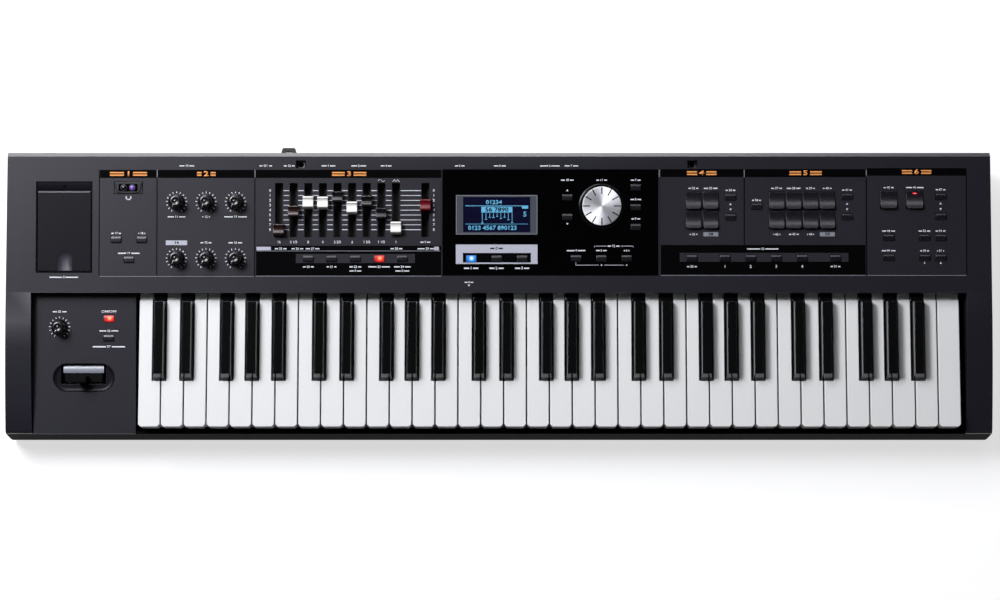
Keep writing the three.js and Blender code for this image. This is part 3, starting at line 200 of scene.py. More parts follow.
@dataclass(frozen=True)
class MouldedPlastic(Finish):
    """ABS from a steel mould, whose spark-eroded or polished wall leaves its grain on the plastic.

    The grain breaks a reflection into a soft sheen, and the flow of the melt leaves faint clouds.
    """

    grain_mm: float = 0.9
    depth_mm: float = 0.03
    clouds: float = 0.12
    cloud_mm: float = 1000 / 9
    specular: float = 0.35
    edge_mm: float = 0.35
    coat: float = 0.0
    ior: float = 1.54

    def dress(self, tree: bpy.types.NodeTree) -> bpy.types.Node:
        """Add the plastic's nodes: clouds in the colour, grain in the bump and the roughness.

        Args:
            tree: The material's empty node tree.

        Returns:
            The shader of the plastic.
        """
        place = here(tree)
        cloud = ranged(tree, noise(tree, place, self.cloud_mm, 3.0), (0.3, 0.7))
        grain = noise(tree, place, self.grain_mm, 2.0)
        color = blended(tree, cloud, toned(self.color, 1 - self.clouds), toned(self.color, 1 + self.clouds))
        rough = ranged(tree, grain, end=(self.roughness * 0.88, min(1.0, self.roughness * 1.12)))
        edge = add(tree, "ShaderNodeBevel", {"Radius": self.edge_mm * MM}, samples=4)
        return add(
            tree,
            "ShaderNodeBsdfPrincipled",
            {"Base Color": color, "Roughness": rough,
             "Normal": bumped(tree, grain, self.depth_mm, Normal=edge.outputs[0]), "IOR": self.ior,
             "Specular IOR Level": self.specular, "Coat Weight": self.coat, "Coat Roughness": 0.08},
        )


@dataclass(frozen=True)
class ScreenPrint(Finish):
    """Ink pressed through a woven screen: flat, with a pinhole speckle where the mesh held it back."""

    speck_mm: float = 0.5
    glow: float = 0.0
    specular: float = 0.2

    def dress(self, tree: bpy.types.NodeTree) -> bpy.types.Node:
        """Add the ink's nodes: a fine speckle in the colour and in the bump.

        Args:
            tree: The material's empty node tree.

        Returns:
            The shader of the ink.
        """
        speck = noise(tree, here(tree), self.speck_mm, 1.0)
        base = linear(self.color)
        color = blended(tree, ranged(tree, speck, (0.35, 0.55)), toned(self.color, 0.86), base)
        return add(
            tree,
            "ShaderNodeBsdfPrincipled",
            {"Base Color": color, "Roughness": self.roughness, "Normal": bumped(tree, speck, 0.01),
             "IOR": 1.5, "Specular IOR Level": self.specular, "Emission Color": base,
             "Emission Strength": self.glow},
        )


@dataclass(frozen=True)
class PolishedSheet(Finish):
    """Cast acrylic with a hard polish: deep colour, a clear reflection and a trace of wipe marks."""

    specular: float = 0.3

    def dress(self, tree: bpy.types.NodeTree) -> bpy.types.Node:
        """Add the sheet's nodes: long faint wipe marks in the roughness.

        Args:
            tree: The material's empty node tree.

        Returns:
            The shader of the sheet.
        """
        drawn = add(tree, "ShaderNodeMapping", {"Vector": here(tree), "Scale": (20.0, 160.0, 160.0)})
        wipe = noise(tree, drawn.outputs[0], 1000.0, 4.0)
        rough = ranged(tree, wipe, end=(self.roughness * 0.6, self.roughness * 1.5))
        return add(
            tree,
            "ShaderNodeBsdfPrincipled",
            {"Base Color": blended(tree, wipe, toned(self.color, 0.8), linear(self.color)),
             "Roughness": rough, "IOR": 1.49, "Specular IOR Level": self.specular},
        )


class Lay(Enum):
    """How a metal's brush marks run."""

    ROUND = "round"
    STRAIGHT = "straight"
    NONE = "none"


@dataclass(frozen=True)
class Metal(Finish):
    """Aluminium or plated steel, turned, brushed or left as rolled: the marks draw its highlights out."""

    lay: Lay = Lay.STRAIGHT
    mark_mm: float = 0.4
    centre_mm: Spot = (0.0, 0.0, 0.0)

    def dress(self, tree: bpy.types.NodeTree) -> bpy.types.Node:
        """Add the metal's nodes: brush marks along or around, in the colour, roughness and bump.

        Args:
            tree: The material's empty node tree.

        Returns:
            The shader of the metal.
        """
        if self.lay is Lay.ROUND:
            turned = {"W": distance(tree, self.centre_mm), "Scale": 1 / (self.mark_mm * MM), "Detail": 3.0}
            marks = add(tree, "ShaderNodeTexNoise", turned, noise_dimensions="1D").outputs["Fac"]
        else:
            ratio = 1.0 if self.lay is Lay.NONE else 0.02
            drawn = add(tree, "ShaderNodeMapping", {"Vector": here(tree), "Scale": (ratio, 1.0, 1.0)})
            marks = noise(tree, drawn.outputs[0], self.mark_mm, 3.0)
        links = {"Base Color": blended(tree, marks, toned(self.color, 0.82), linear(self.color)),
                 "Roughness": ranged(tree, marks, end=(self.roughness * 0.7, self.roughness * 1.3)),
                 "Normal": bumped(tree, marks, 0.015), "Metallic": 1.0}
        if self.lay is Lay.ROUND:
            tangent = add(tree, "ShaderNodeTangent", direction_type="RADIAL", axis="Z")
            links |= {"Anisotropic": 0.65, "Tangent": tangent.outputs[0]}
        return add(tree, "ShaderNodeBsdfPrincipled", links)


@dataclass(frozen=True)
class Lamp(Finish):
    """Smoked polycarbonate over a small light: a hot spot at the chip, and a deeper rim."""

    core: str = "#ffffff"
    spot_mm: Spot = (0.0, 0.0, 0.0)
    reach_mm: float = 5.0
    strength: float = 1.0

    def dress(self, tree: bpy.types.NodeTree) -> bpy.types.Node:
        """Add the lamp's nodes: a glow that falls off from the spot over the chip.

        Args:
            tree: The material's empty node tree.

        Returns:
            The shader of the lamp.
        """
        fall = ranged(tree, distance(tree, self.spot_mm), (0.0, self.reach_mm * MM))
        ramp = add(tree, "ShaderNodeValToRGB", {0: fall})
        core, rim = ramp.color_ramp.elements
        core.color = linear(self.core)
        rim.color = toned(self.color, 0.15)
        ramp.color_ramp.elements.new(0.4).color = linear(self.color)
        return add(
            tree,
            "ShaderNodeBsdfPrincipled",
            {"Base Color": linear("#1a0f10"), "Roughness": self.roughness, "IOR": 1.58,
             "Emission Color": ramp.outputs[0], "Emission Strength": self.strength},
        )


@dataclass(frozen=True)
class Laminate(Finish):
    """Glass and epoxy board under black lacquer, with copper tracks that show as paler lines."""

    between: str = "#070708"
    track: str = "#0d0d10"

    def dress(self, tree: bpy.types.NodeTree) -> bpy.types.Node:
        """Add the board's nodes: rows of tracks in the colour and the bump.

        Args:
            tree: The material's empty node tree.

        Returns:
            The shader of the board.
        """
        tracks = add(
            tree,
            "ShaderNodeTexBrick",
            {"Vector": here(tree), "Scale": 60.0, "Mortar Size": 0.03, "Color1": linear(self.color),
             "Color2": linear(self.between), "Mortar": linear(self.track)},
        )
        return add(
            tree,
            "ShaderNodeBsdfPrincipled",
            {"Base Color": tracks.outputs["Color"], "Roughness": self.roughness,
             "Normal": bumped(tree, tracks.outputs["Fac"], 0.03), "IOR": 1.55},
        )


@dataclass(frozen=True)
class ClearSheet(Finish):
    """Clear acrylic window: the eye sees through it, and a thin highlight shows that it is there."""

    def dress(self, tree: bpy.types.NodeTree) -> bpy.types.Node:
        """Add the window's nodes: a clear body with faint flow marks in its polish.

        Args:
            tree: The material's empty node tree.

        Returns:
            The shader of the window.
        """
        flow = noise(tree, here(tree), 14.0, 1.0)
        return add(
            tree,
            "ShaderNodeBsdfPrincipled",
            {"Base Color": linear(self.color), "Roughness": self.roughness, "IOR": 1.3, "Alpha": 0.03,
             "Normal": bumped(tree, flow, 0.01)},
        )


# The grain of these moulds is some 0.3 mm and is drawn at 0.8 mm or more, so that it shows from afar.
SHELL = MouldedPlastic("moulded_abs_charcoal", "#1b1a22", 0.38, grain_mm=1.3, depth_mm=0.09)
# The lower case's black plastic, made darker still as painted shade for its front lip, which faces away from
# the lamps.
BASE_BLACK_AND_PAINTED_SHADE = MouldedPlastic("moulded_abs_black_and_painted_shade", "#040405", 0.75, grain_mm=1.1, depth_mm=0.05, specular=0.04)
# The memory cover's own darker plastic. The bender's dish also takes it, as painted shade that makes that
# recess darker than the block.
COVER_AND_PAINTED_SHADE = MouldedPlastic("moulded_abs_cover_and_painted_shade", "#121117", 0.34, grain_mm=0.8, depth_mm=0.015, specular=0.12)
IVORY = MouldedPlastic("moulded_key_white", "#e8e9e6", 0.22, grain_mm=2.5, depth_mm=0.01, clouds=0.02,
                       coat=0.25)
EBONY = MouldedPlastic("moulded_key_black", "#060607", 0.1, grain_mm=2.5, depth_mm=0.012, clouds=0.2,
                       specular=0.6, edge_mm=0.9)
BUTTON = MouldedPlastic("moulded_button_grey", "#0b0a11", 0.25, grain_mm=1.4, depth_mm=0.006, specular=0.7)
SWITCH = MouldedPlastic("moulded_switch_black", "#101013", 0.4, grain_mm=0.8, depth_mm=0.02)
KNOB = MouldedPlastic("moulded_knob_black", "#08080a", 0.27, grain_mm=1.5, depth_mm=0.008, specular=0.6)
CAP_WHITE = MouldedPlastic("moulded_cap_white", "#ecebe4", 0.3, grain_mm=2.0, depth_mm=0.01, clouds=0.03)
CAP_BROWN = MouldedPlastic("moulded_cap_brown", "#26110e", 0.14, grain_mm=2.0, depth_mm=0.006, specular=0.7)
CAP_BLACK = MouldedPlastic("moulded_cap_black", "#0c0c10", 0.14, grain_mm=2.0, depth_mm=0.006, specular=0.7)
CAP_RED = MouldedPlastic("moulded_cap_red", "#6e0d16", 0.18, grain_mm=2.0, depth_mm=0.006, specular=0.6)
SILVER = MouldedPlastic("painted_abs_silver", "#8e929b", 0.3, grain_mm=0.8, depth_mm=0.01, clouds=0.05,
                        specular=0.8)
FRAME_GREY = MouldedPlastic("moulded_frame_grey", "#3d4149", 0.45, depth_mm=0.02)
LENS = PolishedSheet("tinted_lens", "#120c1c", 0.08, specular=0.6)
GLOSS = PolishedSheet("polished_acrylic_black", "#020203", 0.12, specular=0.16)
RUBBER = MouldedPlastic("moulded_rubber", "#0e0e0f", 0.85, grain_mm=1.4, depth_mm=0.06, specular=0.2)
STEEL = Metal("plated_steel", "#8f9299", 0.34)
NICKEL = Metal("nickel_plate", "#9b9ca0", 0.22, lay=Lay.NONE, mark_mm=1.2)
LACQUER = Laminate("lacquered_laminate", "#050506", 0.6)
INK_WHITE = ScreenPrint("ink_white", "#e2e4ea", 0.55)
INK_ORANGE = ScreenPrint("ink_orange", "#f3a056", 0.55)
# Black ink for prints. It is also painted shade in screw slots, louvres, socket bores, the memory cover's gap
# and its lock hole.
INK_BLACK_AND_PAINTED_SHADE = ScreenPrint("ink_black_and_painted_shade", "#020203", 0.6, specular=0.03)
INK_FIELD = MouldedPlastic("grained_abs_field", "#201f26", 0.4, grain_mm=1.3, depth_mm=0.08, specular=0.3)
INK_STRIP = ScreenPrint("ink_grey_strip", "#25242b", 0.55)
INK_LINE = ScreenPrint("ink_grey_line", "#8b8d96", 0.55)
INK_SILVER = ScreenPrint("ink_silver", "#b9bbc6", 0.45)
LED_OFF = PolishedSheet("led_window_dark", "#160507", 0.2, specular=0.5)
LED_RED = Lamp("led_window_red", "#ff2a3c", 0.3, core="#ff9a9a", spot_mm=(424.2, 96.6, 92.4), reach_mm=4.0,
               strength=2.4)
LIT_ORGAN = Lamp("lit_button_red", "#e01414", 0.35, core="#ffc070", spot_mm=(-121.3, 30.7, 85.3),
                 reach_mm=6.4, strength=1.35)
LIT_ROTARY = Lamp("lit_button_rotary", "#e01414", 0.35, core="#ffc070", spot_mm=(-398, -28.4, 65.9),
                  reach_mm=6.4, strength=1.35)
LIT_MODE = Lamp("lit_button_blue", "#0878d8", 0.35, core="#d8ffff", spot_mm=(-27.9, 30.7, 85.3),
                reach_mm=7.2, strength=1.35)
SCREEN_GROUND = PolishedSheet("screen_glass_navy", "#0b0b2a", 0.3, specular=0.08)
SCREEN_GLOW = ScreenPrint("screen_segments_cyan", "#62aed2", 0.4, glow=0.25)
WINDOW = ClearSheet("clear_acrylic", "#14161c", 0.04)
LENS_VIOLET = PolishedSheet("coated_lens_violet", "#7a58b4", 0.06, specular=0.7)
DIAL_BLACK = PolishedSheet("polished_dial_black", "#060607", 0.16, specular=0.6)
DIAL_FACE = Metal("spun_aluminium", "#f6f7fa", 0.5, lay=Lay.ROUND, centre_mm=(104.8, 82.7, 96.8))
# The lever's black plastic. It is also the apron, a black plate that is painted shade in the lever's opening.
BENDER_BLACK_AND_PAINTED_SHADE = MouldedPlastic("moulded_lever_black_and_painted_shade", "#060607", 0.5, depth_mm=0.02, specular=0.06)
# The cover's plastic made lighter for the finger scoop: painted sheen of the light that the dish catches.
SCOOP_PAINTED_SHEEN = MouldedPlastic("moulded_abs_scoop_painted_sheen", "#2a2932", 0.44, grain_mm=1.1, depth_mm=0.02, specular=0.35)


# Shapes


@dataclass(frozen=True)
class Slope:
    """A face of the casing, with x across it, v up its slope and w out of it.

    A face that looks to the rear is turned, so that x and v run as they are read from behind.
    """

    y: float = 0.0
    z: float = 0.0
    rise: float = 0.0
    run: float = 1.0
    turned: bool = False

    def matrix(self) -> Matrix:
        """Return the matrix from this face's millimetres to the scene's metres."""
        turn = Matrix.Rotation(math.atan2(self.rise, self.run), 4, "X")
        if self.turned:
            turn = Matrix.Rotation(math.pi, 4, "Z") @ turn
        return Matrix.Translation((0, self.y * MM, self.z * MM)) @ turn @ Matrix.Scale(MM, 4)


PANEL = Slope(-4.0, 80.0, 14.0, 138.5)
BLOCK = Slope(-4.0, 67.0, 17.0, 141.0)
WORLD = Slope()
REAR = Slope(139.0, 0.0, 1.0, 0.0, turned=True)


class Form:
    """A mesh that is put together from simple forms on one face of the casing."""

    def __init__(self, face: Slope = WORLD) -> None:
        """Start an empty form.

        Args:
            face: The face whose millimetres the form is drawn in.
        """
        self.face = face
        self.mesh = bmesh.new()

    def prism(self, outline: Sequence[Point], low: float, high: float, taper: float = 0.0) -> Form:
        """Add an outline carried from low to high.

        Args:
            outline: Corners in order, across and up the slope.
            low: The lower end, out of the face.
            high: The upper end.
            taper: How much smaller the upper end is, as a share of the outline.

        Returns:
            This form.
        """
        middle_x = sum(x for x, _ in outline) / len(outline)
        middle_v = sum(v for _, v in outline) / len(outline)
        keep = 1 - taper
        under = [self.mesh.verts.new((x, v, low)) for x, v in outline]
        over = [
            self.mesh.verts.new((middle_x + (x - middle_x) * keep, middle_v + (v - middle_v) * keep, high))
            for x, v in outline
        ]
        self.mesh.faces.new(list(reversed(under)))
        self.mesh.faces.new(over)
        count = len(outline)
        for i in range(count):
            j = (i + 1) % count
            self.mesh.faces.new((under[i], under[j], over[j], over[i]))
        return self

    def slab(self, x0: float, x1: float, v0: float, v1: float, low: float, high: float) -> Form:
        """Add a flat rectangle with a thickness, and return this form."""
        return self.prism([(x0, v0), (x1, v0), (x1, v1), (x0, v1)], low, high)

    def slabs(self, boxes: Iterable[Box], low: float, high: float) -> Form:
        """Add rectangles of one thickness, each by its left, right, lower and upper side."""
        for box in boxes:
            self.slab(*box, low, high)
        return self

    def band(self, profile: Sequence[Point], x0: float, x1: float) -> Form:
        """Add a (v, w) profile carried along x.

        Args:
            profile: Corners in order, anticlockwise seen from the +x side.
            x0: The left end.
            x1: The right end.

        Returns:
            This form.
        """
        left = [self.mesh.verts.new((x0, v, w)) for v, w in profile]
        right = [self.mesh.verts.new((x1, v, w)) for v, w in profile]
        self.mesh.faces.new(list(reversed(left)))
        self.mesh.faces.new(right)
        count = len(profile)
        for i in range(count):
            j = (i + 1) % count
            self.mesh.faces.new((left[i], left[j], right[j], right[i]))
        return self

    def saddle(self, rows: Sequence[Spot], x: float, low: float) -> Form:
        """Add a body over a line across the slope whose top and sides follow a list of rows.

        Args:
            rows: (v, height, half width) of each row, from the rear to the front.
            x: The middle, across.
            low: The body's flat underside.

        Returns:
            This form.
        """
        rings = [
            [self.mesh.verts.new(corner) for corner in
             ((x - half, v, low), (x + half, v, low), (x + half, v, top), (x - half, v, top))]
            for v, top, half in rows
        ]
        for ahead, behind in zip(rings, rings[1:]):
            for i in range(4):
                j = (i + 1) % 4
                self.mesh.faces.new((ahead[i], ahead[j], behind[j], behind[i]))
        self.mesh.faces.new(rings[0])
        self.mesh.faces.new(list(reversed(rings[-1])))
        return self

    def lathe(self, profile: Sequence[Point], x: float, v: float, sides: int = 48, flutes: int = 0,
              flute_depth: float = 0.0, fluted: range = range(0)) -> Form:
        """Add a turned form about a line out of the face.

        Args:
            profile: (radius, height) points from the lower end to the upper one.
            x: The axis's place across.
            v: The axis's place up the slope.
            sides: Steps around.
            flutes: Grooves around the fluted rings.
            flute_depth: How deep a groove is.
            fluted: The rings, by their place in the profile, that carry the grooves.

        Returns:
            This form.
        """
        rings = []
        for place, (radius, height) in enumerate(profile):
            ring = []
            for i in range(sides):
                turn = 2 * math.pi * i / sides
                reach = radius
                if flutes and place in fluted:
                    reach -= flute_depth * (0.5 - 0.5 * math.cos(turn * flutes)) ** 2
                spot = (x + reach * math.cos(turn), v + reach * math.sin(turn), height)
                ring.append(self.mesh.verts.new(spot))
            rings.append(ring)
        for lower, upper in zip(rings, rings[1:]):
            for i in range(sides):
                j = (i + 1) % sides
                self.mesh.faces.new((lower[i], lower[j], upper[j], upper[i]))
        self.mesh.faces.new(list(reversed(rings[0])))
        self.mesh.faces.new(rings[-1])
        return self

    def rim(self, loops: Sequence[Sequence[Spot]]) -> Form:
        """Add a ring whose skin runs over a list of loops and back to the first of them.

        Args:
            loops: (x, v, w) points round each loop, as many in every one.

        Returns:
            This form.
        """
        rings = [[self.mesh.verts.new(spot) for spot in loop] for loop in loops]
        for ahead, behind in zip(rings, rings[1:] + rings[:1]):
            count = len(ahead)
            for i in range(count):
                j = (i + 1) % count
                self.mesh.faces.new((ahead[i], ahead[j], behind[j], behind[i]))
        return self

    def sheet(self, rows: Sequence[Sequence[Spot]], thickness: float) -> Form:
        """Add a curved sheet over a grid of points, with an underside that follows it.

        Args:
            rows: (x, v, w) points of each row, as many in every one.
            thickness: How far the underside lies below.

        Returns:
            This form.
        """
        over = [[self.mesh.verts.new(spot) for spot in row] for row in rows]
        under = [[self.mesh.verts.new((x, v, w - thickness)) for x, v, w in row] for row in rows]
        last, end = len(rows) - 1, len(rows[0]) - 1
        for i in range(last):
            for j in range(end):
                self.mesh.faces.new((over[i][j], over[i][j + 1], over[i + 1][j + 1], over[i + 1][j]))
                self.mesh.faces.new((under[i][j], under[i + 1][j], under[i + 1][j + 1], under[i][j + 1]))
        for j in range(end):
            self.mesh.faces.new((over[0][j + 1], over[0][j], under[0][j], under[0][j + 1]))
            self.mesh.faces.new((over[last][j], over[last][j + 1], under[last][j + 1], under[last][j]))
        for i in range(last):
            self.mesh.faces.new((over[i][0], over[i + 1][0], under[i + 1][0], under[i][0]))
            self.mesh.faces.new((over[i + 1][end], over[i][end], under[i][end], under[i + 1][end]))
        return self

    def stroke(self, points: Sequence[Point], width: float, low: float, high: float) -> Form:
        """Add a line drawn with a pen of one width, as overlapping straight stretches.

        Args:
            points: The line's points.
            width: The pen's width.
            low: The ink's lower side.
            high: The ink's upper side.

        Returns:
            This form.
        """
        half = width / 2
        for (x0, v0), (x1, v1) in zip(points, points[1:]):
            length = math.hypot(x1 - x0, v1 - v0) or 1.0
            ax, av = (x1 - x0) / length * half, (v1 - v0) / length * half
            corners = [(x0 - ax + av, v0 - av - ax), (x1 + ax + av, v1 + av - ax),
                       (x1 + ax - av, v1 + av + ax), (x0 - ax - av, v0 - av + ax)]
            self.prism(corners, low, high)
        return self

    def ticks(self, x: float, v: float, inner: float, outer: float, turns: Iterable[float], width: float,
              low: float, high: float) -> Form:
        """Add radial marks around a place.

        Args:
            x: The middle, across.
            v: The middle, up the slope.
            inner: Where each mark starts from the middle.
            outer: Where it ends.
            turns: Clockwise angles from straight up, in degrees.
            width: The pen's width.
            low: The ink's lower side.
            high: The ink's upper side.

        Returns:
            This form.
        """
        for turn in turns:
            across, up = math.sin(math.radians(turn)), math.cos(math.radians(turn))
            line = [(x + across * inner, v + up * inner), (x + across * outer, v + up * outer)]
            self.stroke(line, width, low, high)
        return self

    def digits(self, words: str, x: float, v: float, height: float, low: float, high: float,
               wide: float = 1.0) -> Form:
        """Add figures in a plain face, centred on a place.

        Args:
            words: Digits with plain signs such as a slash, or a plain switch word.
            x: The middle, across.
            v: The middle, up the slope.
            height: How tall a figure is.
            low: The ink's lower side.
            high: The ink's upper side.
            wide: How far the figures are drawn out sideways.

        Returns:
            This form.
        """
        curve = bpy.data.curves.new("figures", "FONT")
        curve.body = words
        curve.align_x = "CENTER"
        curve.align_y = "CENTER"
        curve.size = height / 0.7
        curve.resolution_u = 2
        curve.offset = height * 0.045
        holder = bpy.data.objects.new("figures", curve)
        bpy.context.scene.collection.objects.link(holder)
        bpy.context.view_layer.update()
        flat = bpy.data.meshes.new_from_object(holder.evaluated_get(bpy.context.evaluated_depsgraph_get()))
        grown = bmesh.new()
        grown.from_mesh(flat)
        bmesh.ops.dissolve_degenerate(grown, edges=grown.edges[:], dist=SPOT_MM)
        caps = bmesh.ops.extrude_face_region(grown, geom=grown.faces[:])
        raised = [item for item in caps["geom"] if isinstance(item, bmesh.types.BMVert)]
        bmesh.ops.translate(grown, verts=raised, vec=(0, 0, high - low))
        grown.transform(Matrix.Translation((x, v, low)) @ Matrix.Diagonal((wide, 1, 1, 1)))
        grown.to_mesh(flat)
        grown.free()
        self.mesh.from_mesh(flat)
        bpy.data.objects.remove(holder)
        bpy.data.curves.remove(curve)
        bpy.data.meshes.remove(flat)
        return self

    def piece(self, name: str, finish: Finish, body: str = CASE_BODY, soft_mm: float = 0.0, steps: int = 2,
              smooth: bool = True) -> bpy.types.Object:
        """Make the form a piece of the scene that rides on a body.

        Args:
            name: The piece's name.
            finish: Its finish.
            body: The body that it rides on.
            soft_mm: The radius of its rounded edges, or 0 for crisp ones.
            steps: Steps across a rounded edge.
            smooth: Whether its faces shade smoothly up to its edges.

        Returns:
            The piece.
        """
        bmesh.ops.recalc_face_normals(self.mesh, faces=self.mesh.faces[:])
        self.mesh.transform(self.face.matrix())
        data = bpy.data.meshes.new(name)
        self.mesh.to_mesh(data)
        self.mesh.free()
        made = bpy.data.objects.new(name, data)
        bpy.context.scene.collection.objects.link(made)
        dress(made, finish)
        if soft_mm > 0:
            round_edges(made, soft_mm, steps)
        if smooth:
            shade(made)
        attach(made, body)
        LOG.info("piece %s on %s, %d faces", name, body, len(made.data.polygons))
        return made


def dress(made: bpy.types.Object, finish: Finish) -> None:
    """Give an object one finish all over.

    Args:
        made: The object.
        finish: The finish.
    """
    slots = made.data.materials
    if len(slots):
        for i in range(len(slots)):
            slots[i] = finish.material()
    else:
        slots.append(finish.material())


def round_edges(made: bpy.types.Object, radius_mm: float, steps: int) -> None:
    """Round an object's sharp edges for good.

    Args:
        made: The object.
        radius_mm: The radius.
        steps: Steps across the rounding.
    """
    rounding = made.modifiers.new("rounding", "BEVEL")
    rounding.width = radius_mm * MM
    rounding.segments = steps
    rounding.limit_method = "ANGLE"
    rounding.angle_limit = math.radians(25)
    rounding.use_clamp_overlap = True
    settle(made)
    sweep(made)


def settle(made: bpy.types.Object) -> None:
    """Apply an object's modifiers to its mesh.

    Args:
        made: The object.
    """
    bpy.context.view_layer.update()
    seen = made.evaluated_get(bpy.context.evaluated_depsgraph_get())
    data = bpy.data.meshes.new_from_object(seen)
    made.modifiers.clear()
    old = made.data
    made.data = data
    bpy.data.meshes.remove(old)


def sweep(made: bpy.types.Object) -> None:
    """Merge the points that a rounding or a cut left on one spot, and drop the slivers between them.

    Args:
        made: The object.
    """
    work = bmesh.new()
    work.from_mesh(made.data)
    bmesh.ops.remove_doubles(work, verts=work.verts[:], dist=SPOT_MM * MM)
    bmesh.ops.dissolve_degenerate(work, edges=work.edges[:], dist=SPOT_MM * MM)
    work.to_mesh(made.data)
    work.free()


def cut_away(made: bpy.types.Object, cutter: bpy.types.Object, keep: bool = False) -> None:
    """Cut a piece with another, which is then thrown away.

    Args:
        made: The piece.
        cutter: The piece that shows what goes.
        keep: Whether the cutter stays for another piece.
    """
    cut = made.modifiers.new("openings", "BOOLEAN")
    cut.object = cutter
    cut.operation = "DIFFERENCE"
    cut.solver = "EXACT"
    settle(made)
    sweep(made)
    if not keep:
        discard(cutter)


def cut_free(cutter: bpy.types.Object, *prints: tuple[Form, str, Finish]) -> None:
    """Make prints that all keep off one cutter, which is then thrown away.

    Args:
        cutter: The piece that shows what goes.
        prints: Each print's form, name and finish.
    """
    for form, name, finish in prints:
        cut_away(form.piece(name, finish, smooth=False), cutter, keep=True)
    discard(cutter)


def discard(made: bpy.types.Object) -> None:
    """Remove an object and its mesh."""
    data = made.data
    bpy.data.objects.remove(made)
    bpy.data.meshes.remove(data)


def shade(made: bpy.types.Object, angle: float = 35.0, even: bool = False) -> None:
    """Shade an object smoothly, apart from its sharp edges.

    Args:
        made: The object.
        angle: Edges that turn by more than this many degrees stay sharp.
        even: Whether a face counts by its plain area, so that a curve of like strips shades as one.
    """
    for face in made.data.polygons:
        face.use_smooth = True
    made.data.set_sharp_from_angle(angle=math.radians(angle))
    weighing = made.modifiers.new("weighing", "WEIGHTED_NORMAL")
    weighing.mode = "FACE_AREA"
    weighing.weight = 50 if even else 100
    weighing.keep_sharp = True
    settle(made)


def softened(node: str, finish: Finish, radius_mm: float, steps: int = 2,
             seams_mm: Sequence[float] = ()) -> bpy.types.Object:
    """Stand in for a CAD node with a copy whose edges are rounded as a mould leaves them.

    Args:
        node: The CAD node.
        finish: The copy's finish.
        radius_mm: The radius of its edges.
        steps: Steps across each rounding.
        seams_mm: Places along y between which a curve in the copy is shaded as one, apart from the flats.

    Returns:
        The copy, which rides where the node does.
    """
    source = bpy.data.objects[node]
    data = source.data.copy()
    data.name = f"{node}_fine"
    work = bmesh.new()
    work.from_mesh(data)
    bmesh.ops.remove_doubles(work, verts=work.verts[:], dist=SPOT_MM * MM)
    bmesh.ops.dissolve_limit(work, angle_limit=math.radians(1), verts=work.verts[:], edges=work.edges[:])
    for seam in seams_mm:
        geom = work.verts[:] + work.edges[:] + work.faces[:]
        bmesh.ops.bisect_plane(work, geom=geom, plane_co=(0, seam * MM, 0), plane_no=(0, 1, 0), dist=1e-7)
    work.to_mesh(data)
    work.free()
    made = bpy.data.objects.new(f"{node}_fine", data)
    bpy.context.scene.collection.objects.link(made)
    dress(made, finish)
    round_edges(made, radius_mm, steps)
    shade(made, even=bool(seams_mm))
    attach(made, source["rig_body"])
    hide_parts(node)
    LOG.info("piece %s for node %s, %d faces", made.name, node, len(made.data.polygons))
    return made


def circle(x: float, v: float, radius: float, sides: int = 24, start: float = 0.0,
           arc: float = 360.0) -> list[Point]:
    """Return points around a circle or an arc.

    Args:
        x: The middle, across.
        v: The middle, up the slope.
        radius: The radius.
        sides: How many points.
        start: The first point's angle from the +x side, in degrees.
        arc: How far round the points go. A full turn doesn't repeat the first one.

    Returns:
        The points, anticlockwise.
    """
    steps = sides if arc >= 360 else sides - 1
    turns = [math.radians(start + arc * i / steps) for i in range(sides)]
    return [(x + radius * math.cos(turn), v + radius * math.sin(turn)) for turn in turns]


def rounded(x0: float, x1: float, v0: float, v1: float, radius: float, sides: int = 5) -> list[Point]:
    """Return a rectangle's outline with round corners.

    Args:
        x0: The left side.
        x1: The right side.
        v0: The lower side.
        v1: The upper side.
        radius: The corners' radius.
        sides: Points at each corner.

    Returns:
        The points, anticlockwise.
    """
    corners = [(x1 - radius, v0 + radius, -90), (x1 - radius, v1 - radius, 0),
               (x0 + radius, v1 - radius, 90), (x0 + radius, v0 + radius, 180)]
    return [spot for x, v, start in corners for spot in circle(x, v, radius, sides, start, 90)]


# Sizes and places that several pieces share

SMALL = (10.4, 6.6)
TALL = (15.2, 18.0)
BROAD = (16.8, 18.2)
SLOT_X = [-224.3 + 14.92 * i for i in range(9)] + [-75.0]
SETTINGS = [8, 4.3, 2.4, 2.5, 1.3, 3.5, 2.2, 4.7, 7.6, 3]
SLOT_FRONT, SLOT_REAR = 56.7, 112.0
SCALE_TOP, SCALE_STEP = 104.3, 4.99
DIAL = (104.8, 88.0)
KNOBS = {
    "drive_knob": (-328.8, 92.5),
    "tone_knob": (-298.7, 92.5),
    "compressor_knob": (-268.7, 92.5),
    "modulation_knob": (-328.8, 34.8),
    "delay_knob": (-298.7, 34.8),
    "reverb_knob": (-268.7, 34.8),
}
VOLUME = (-449.4, -33.6)
RING_INNER, RING_OUTER, RING_PEN = 9.5, 10.5, 0.7
RING_TURNS = [-150 + 300 * i / 14 for i in range(15)]
CUTTER_SPAN = (-1.0, 2.0)


@dataclass(frozen=True)
class ButtonSet:
    """The caps of one carrier, by their middles, and the carrier's plates."""

    node: str
    small: tuple[Point, ...]
    plates: tuple[Box, ...]
    tall: tuple[Point, ...] = ()
    broad: tuple[Point, ...] = ()
    face: Slope = PANEL


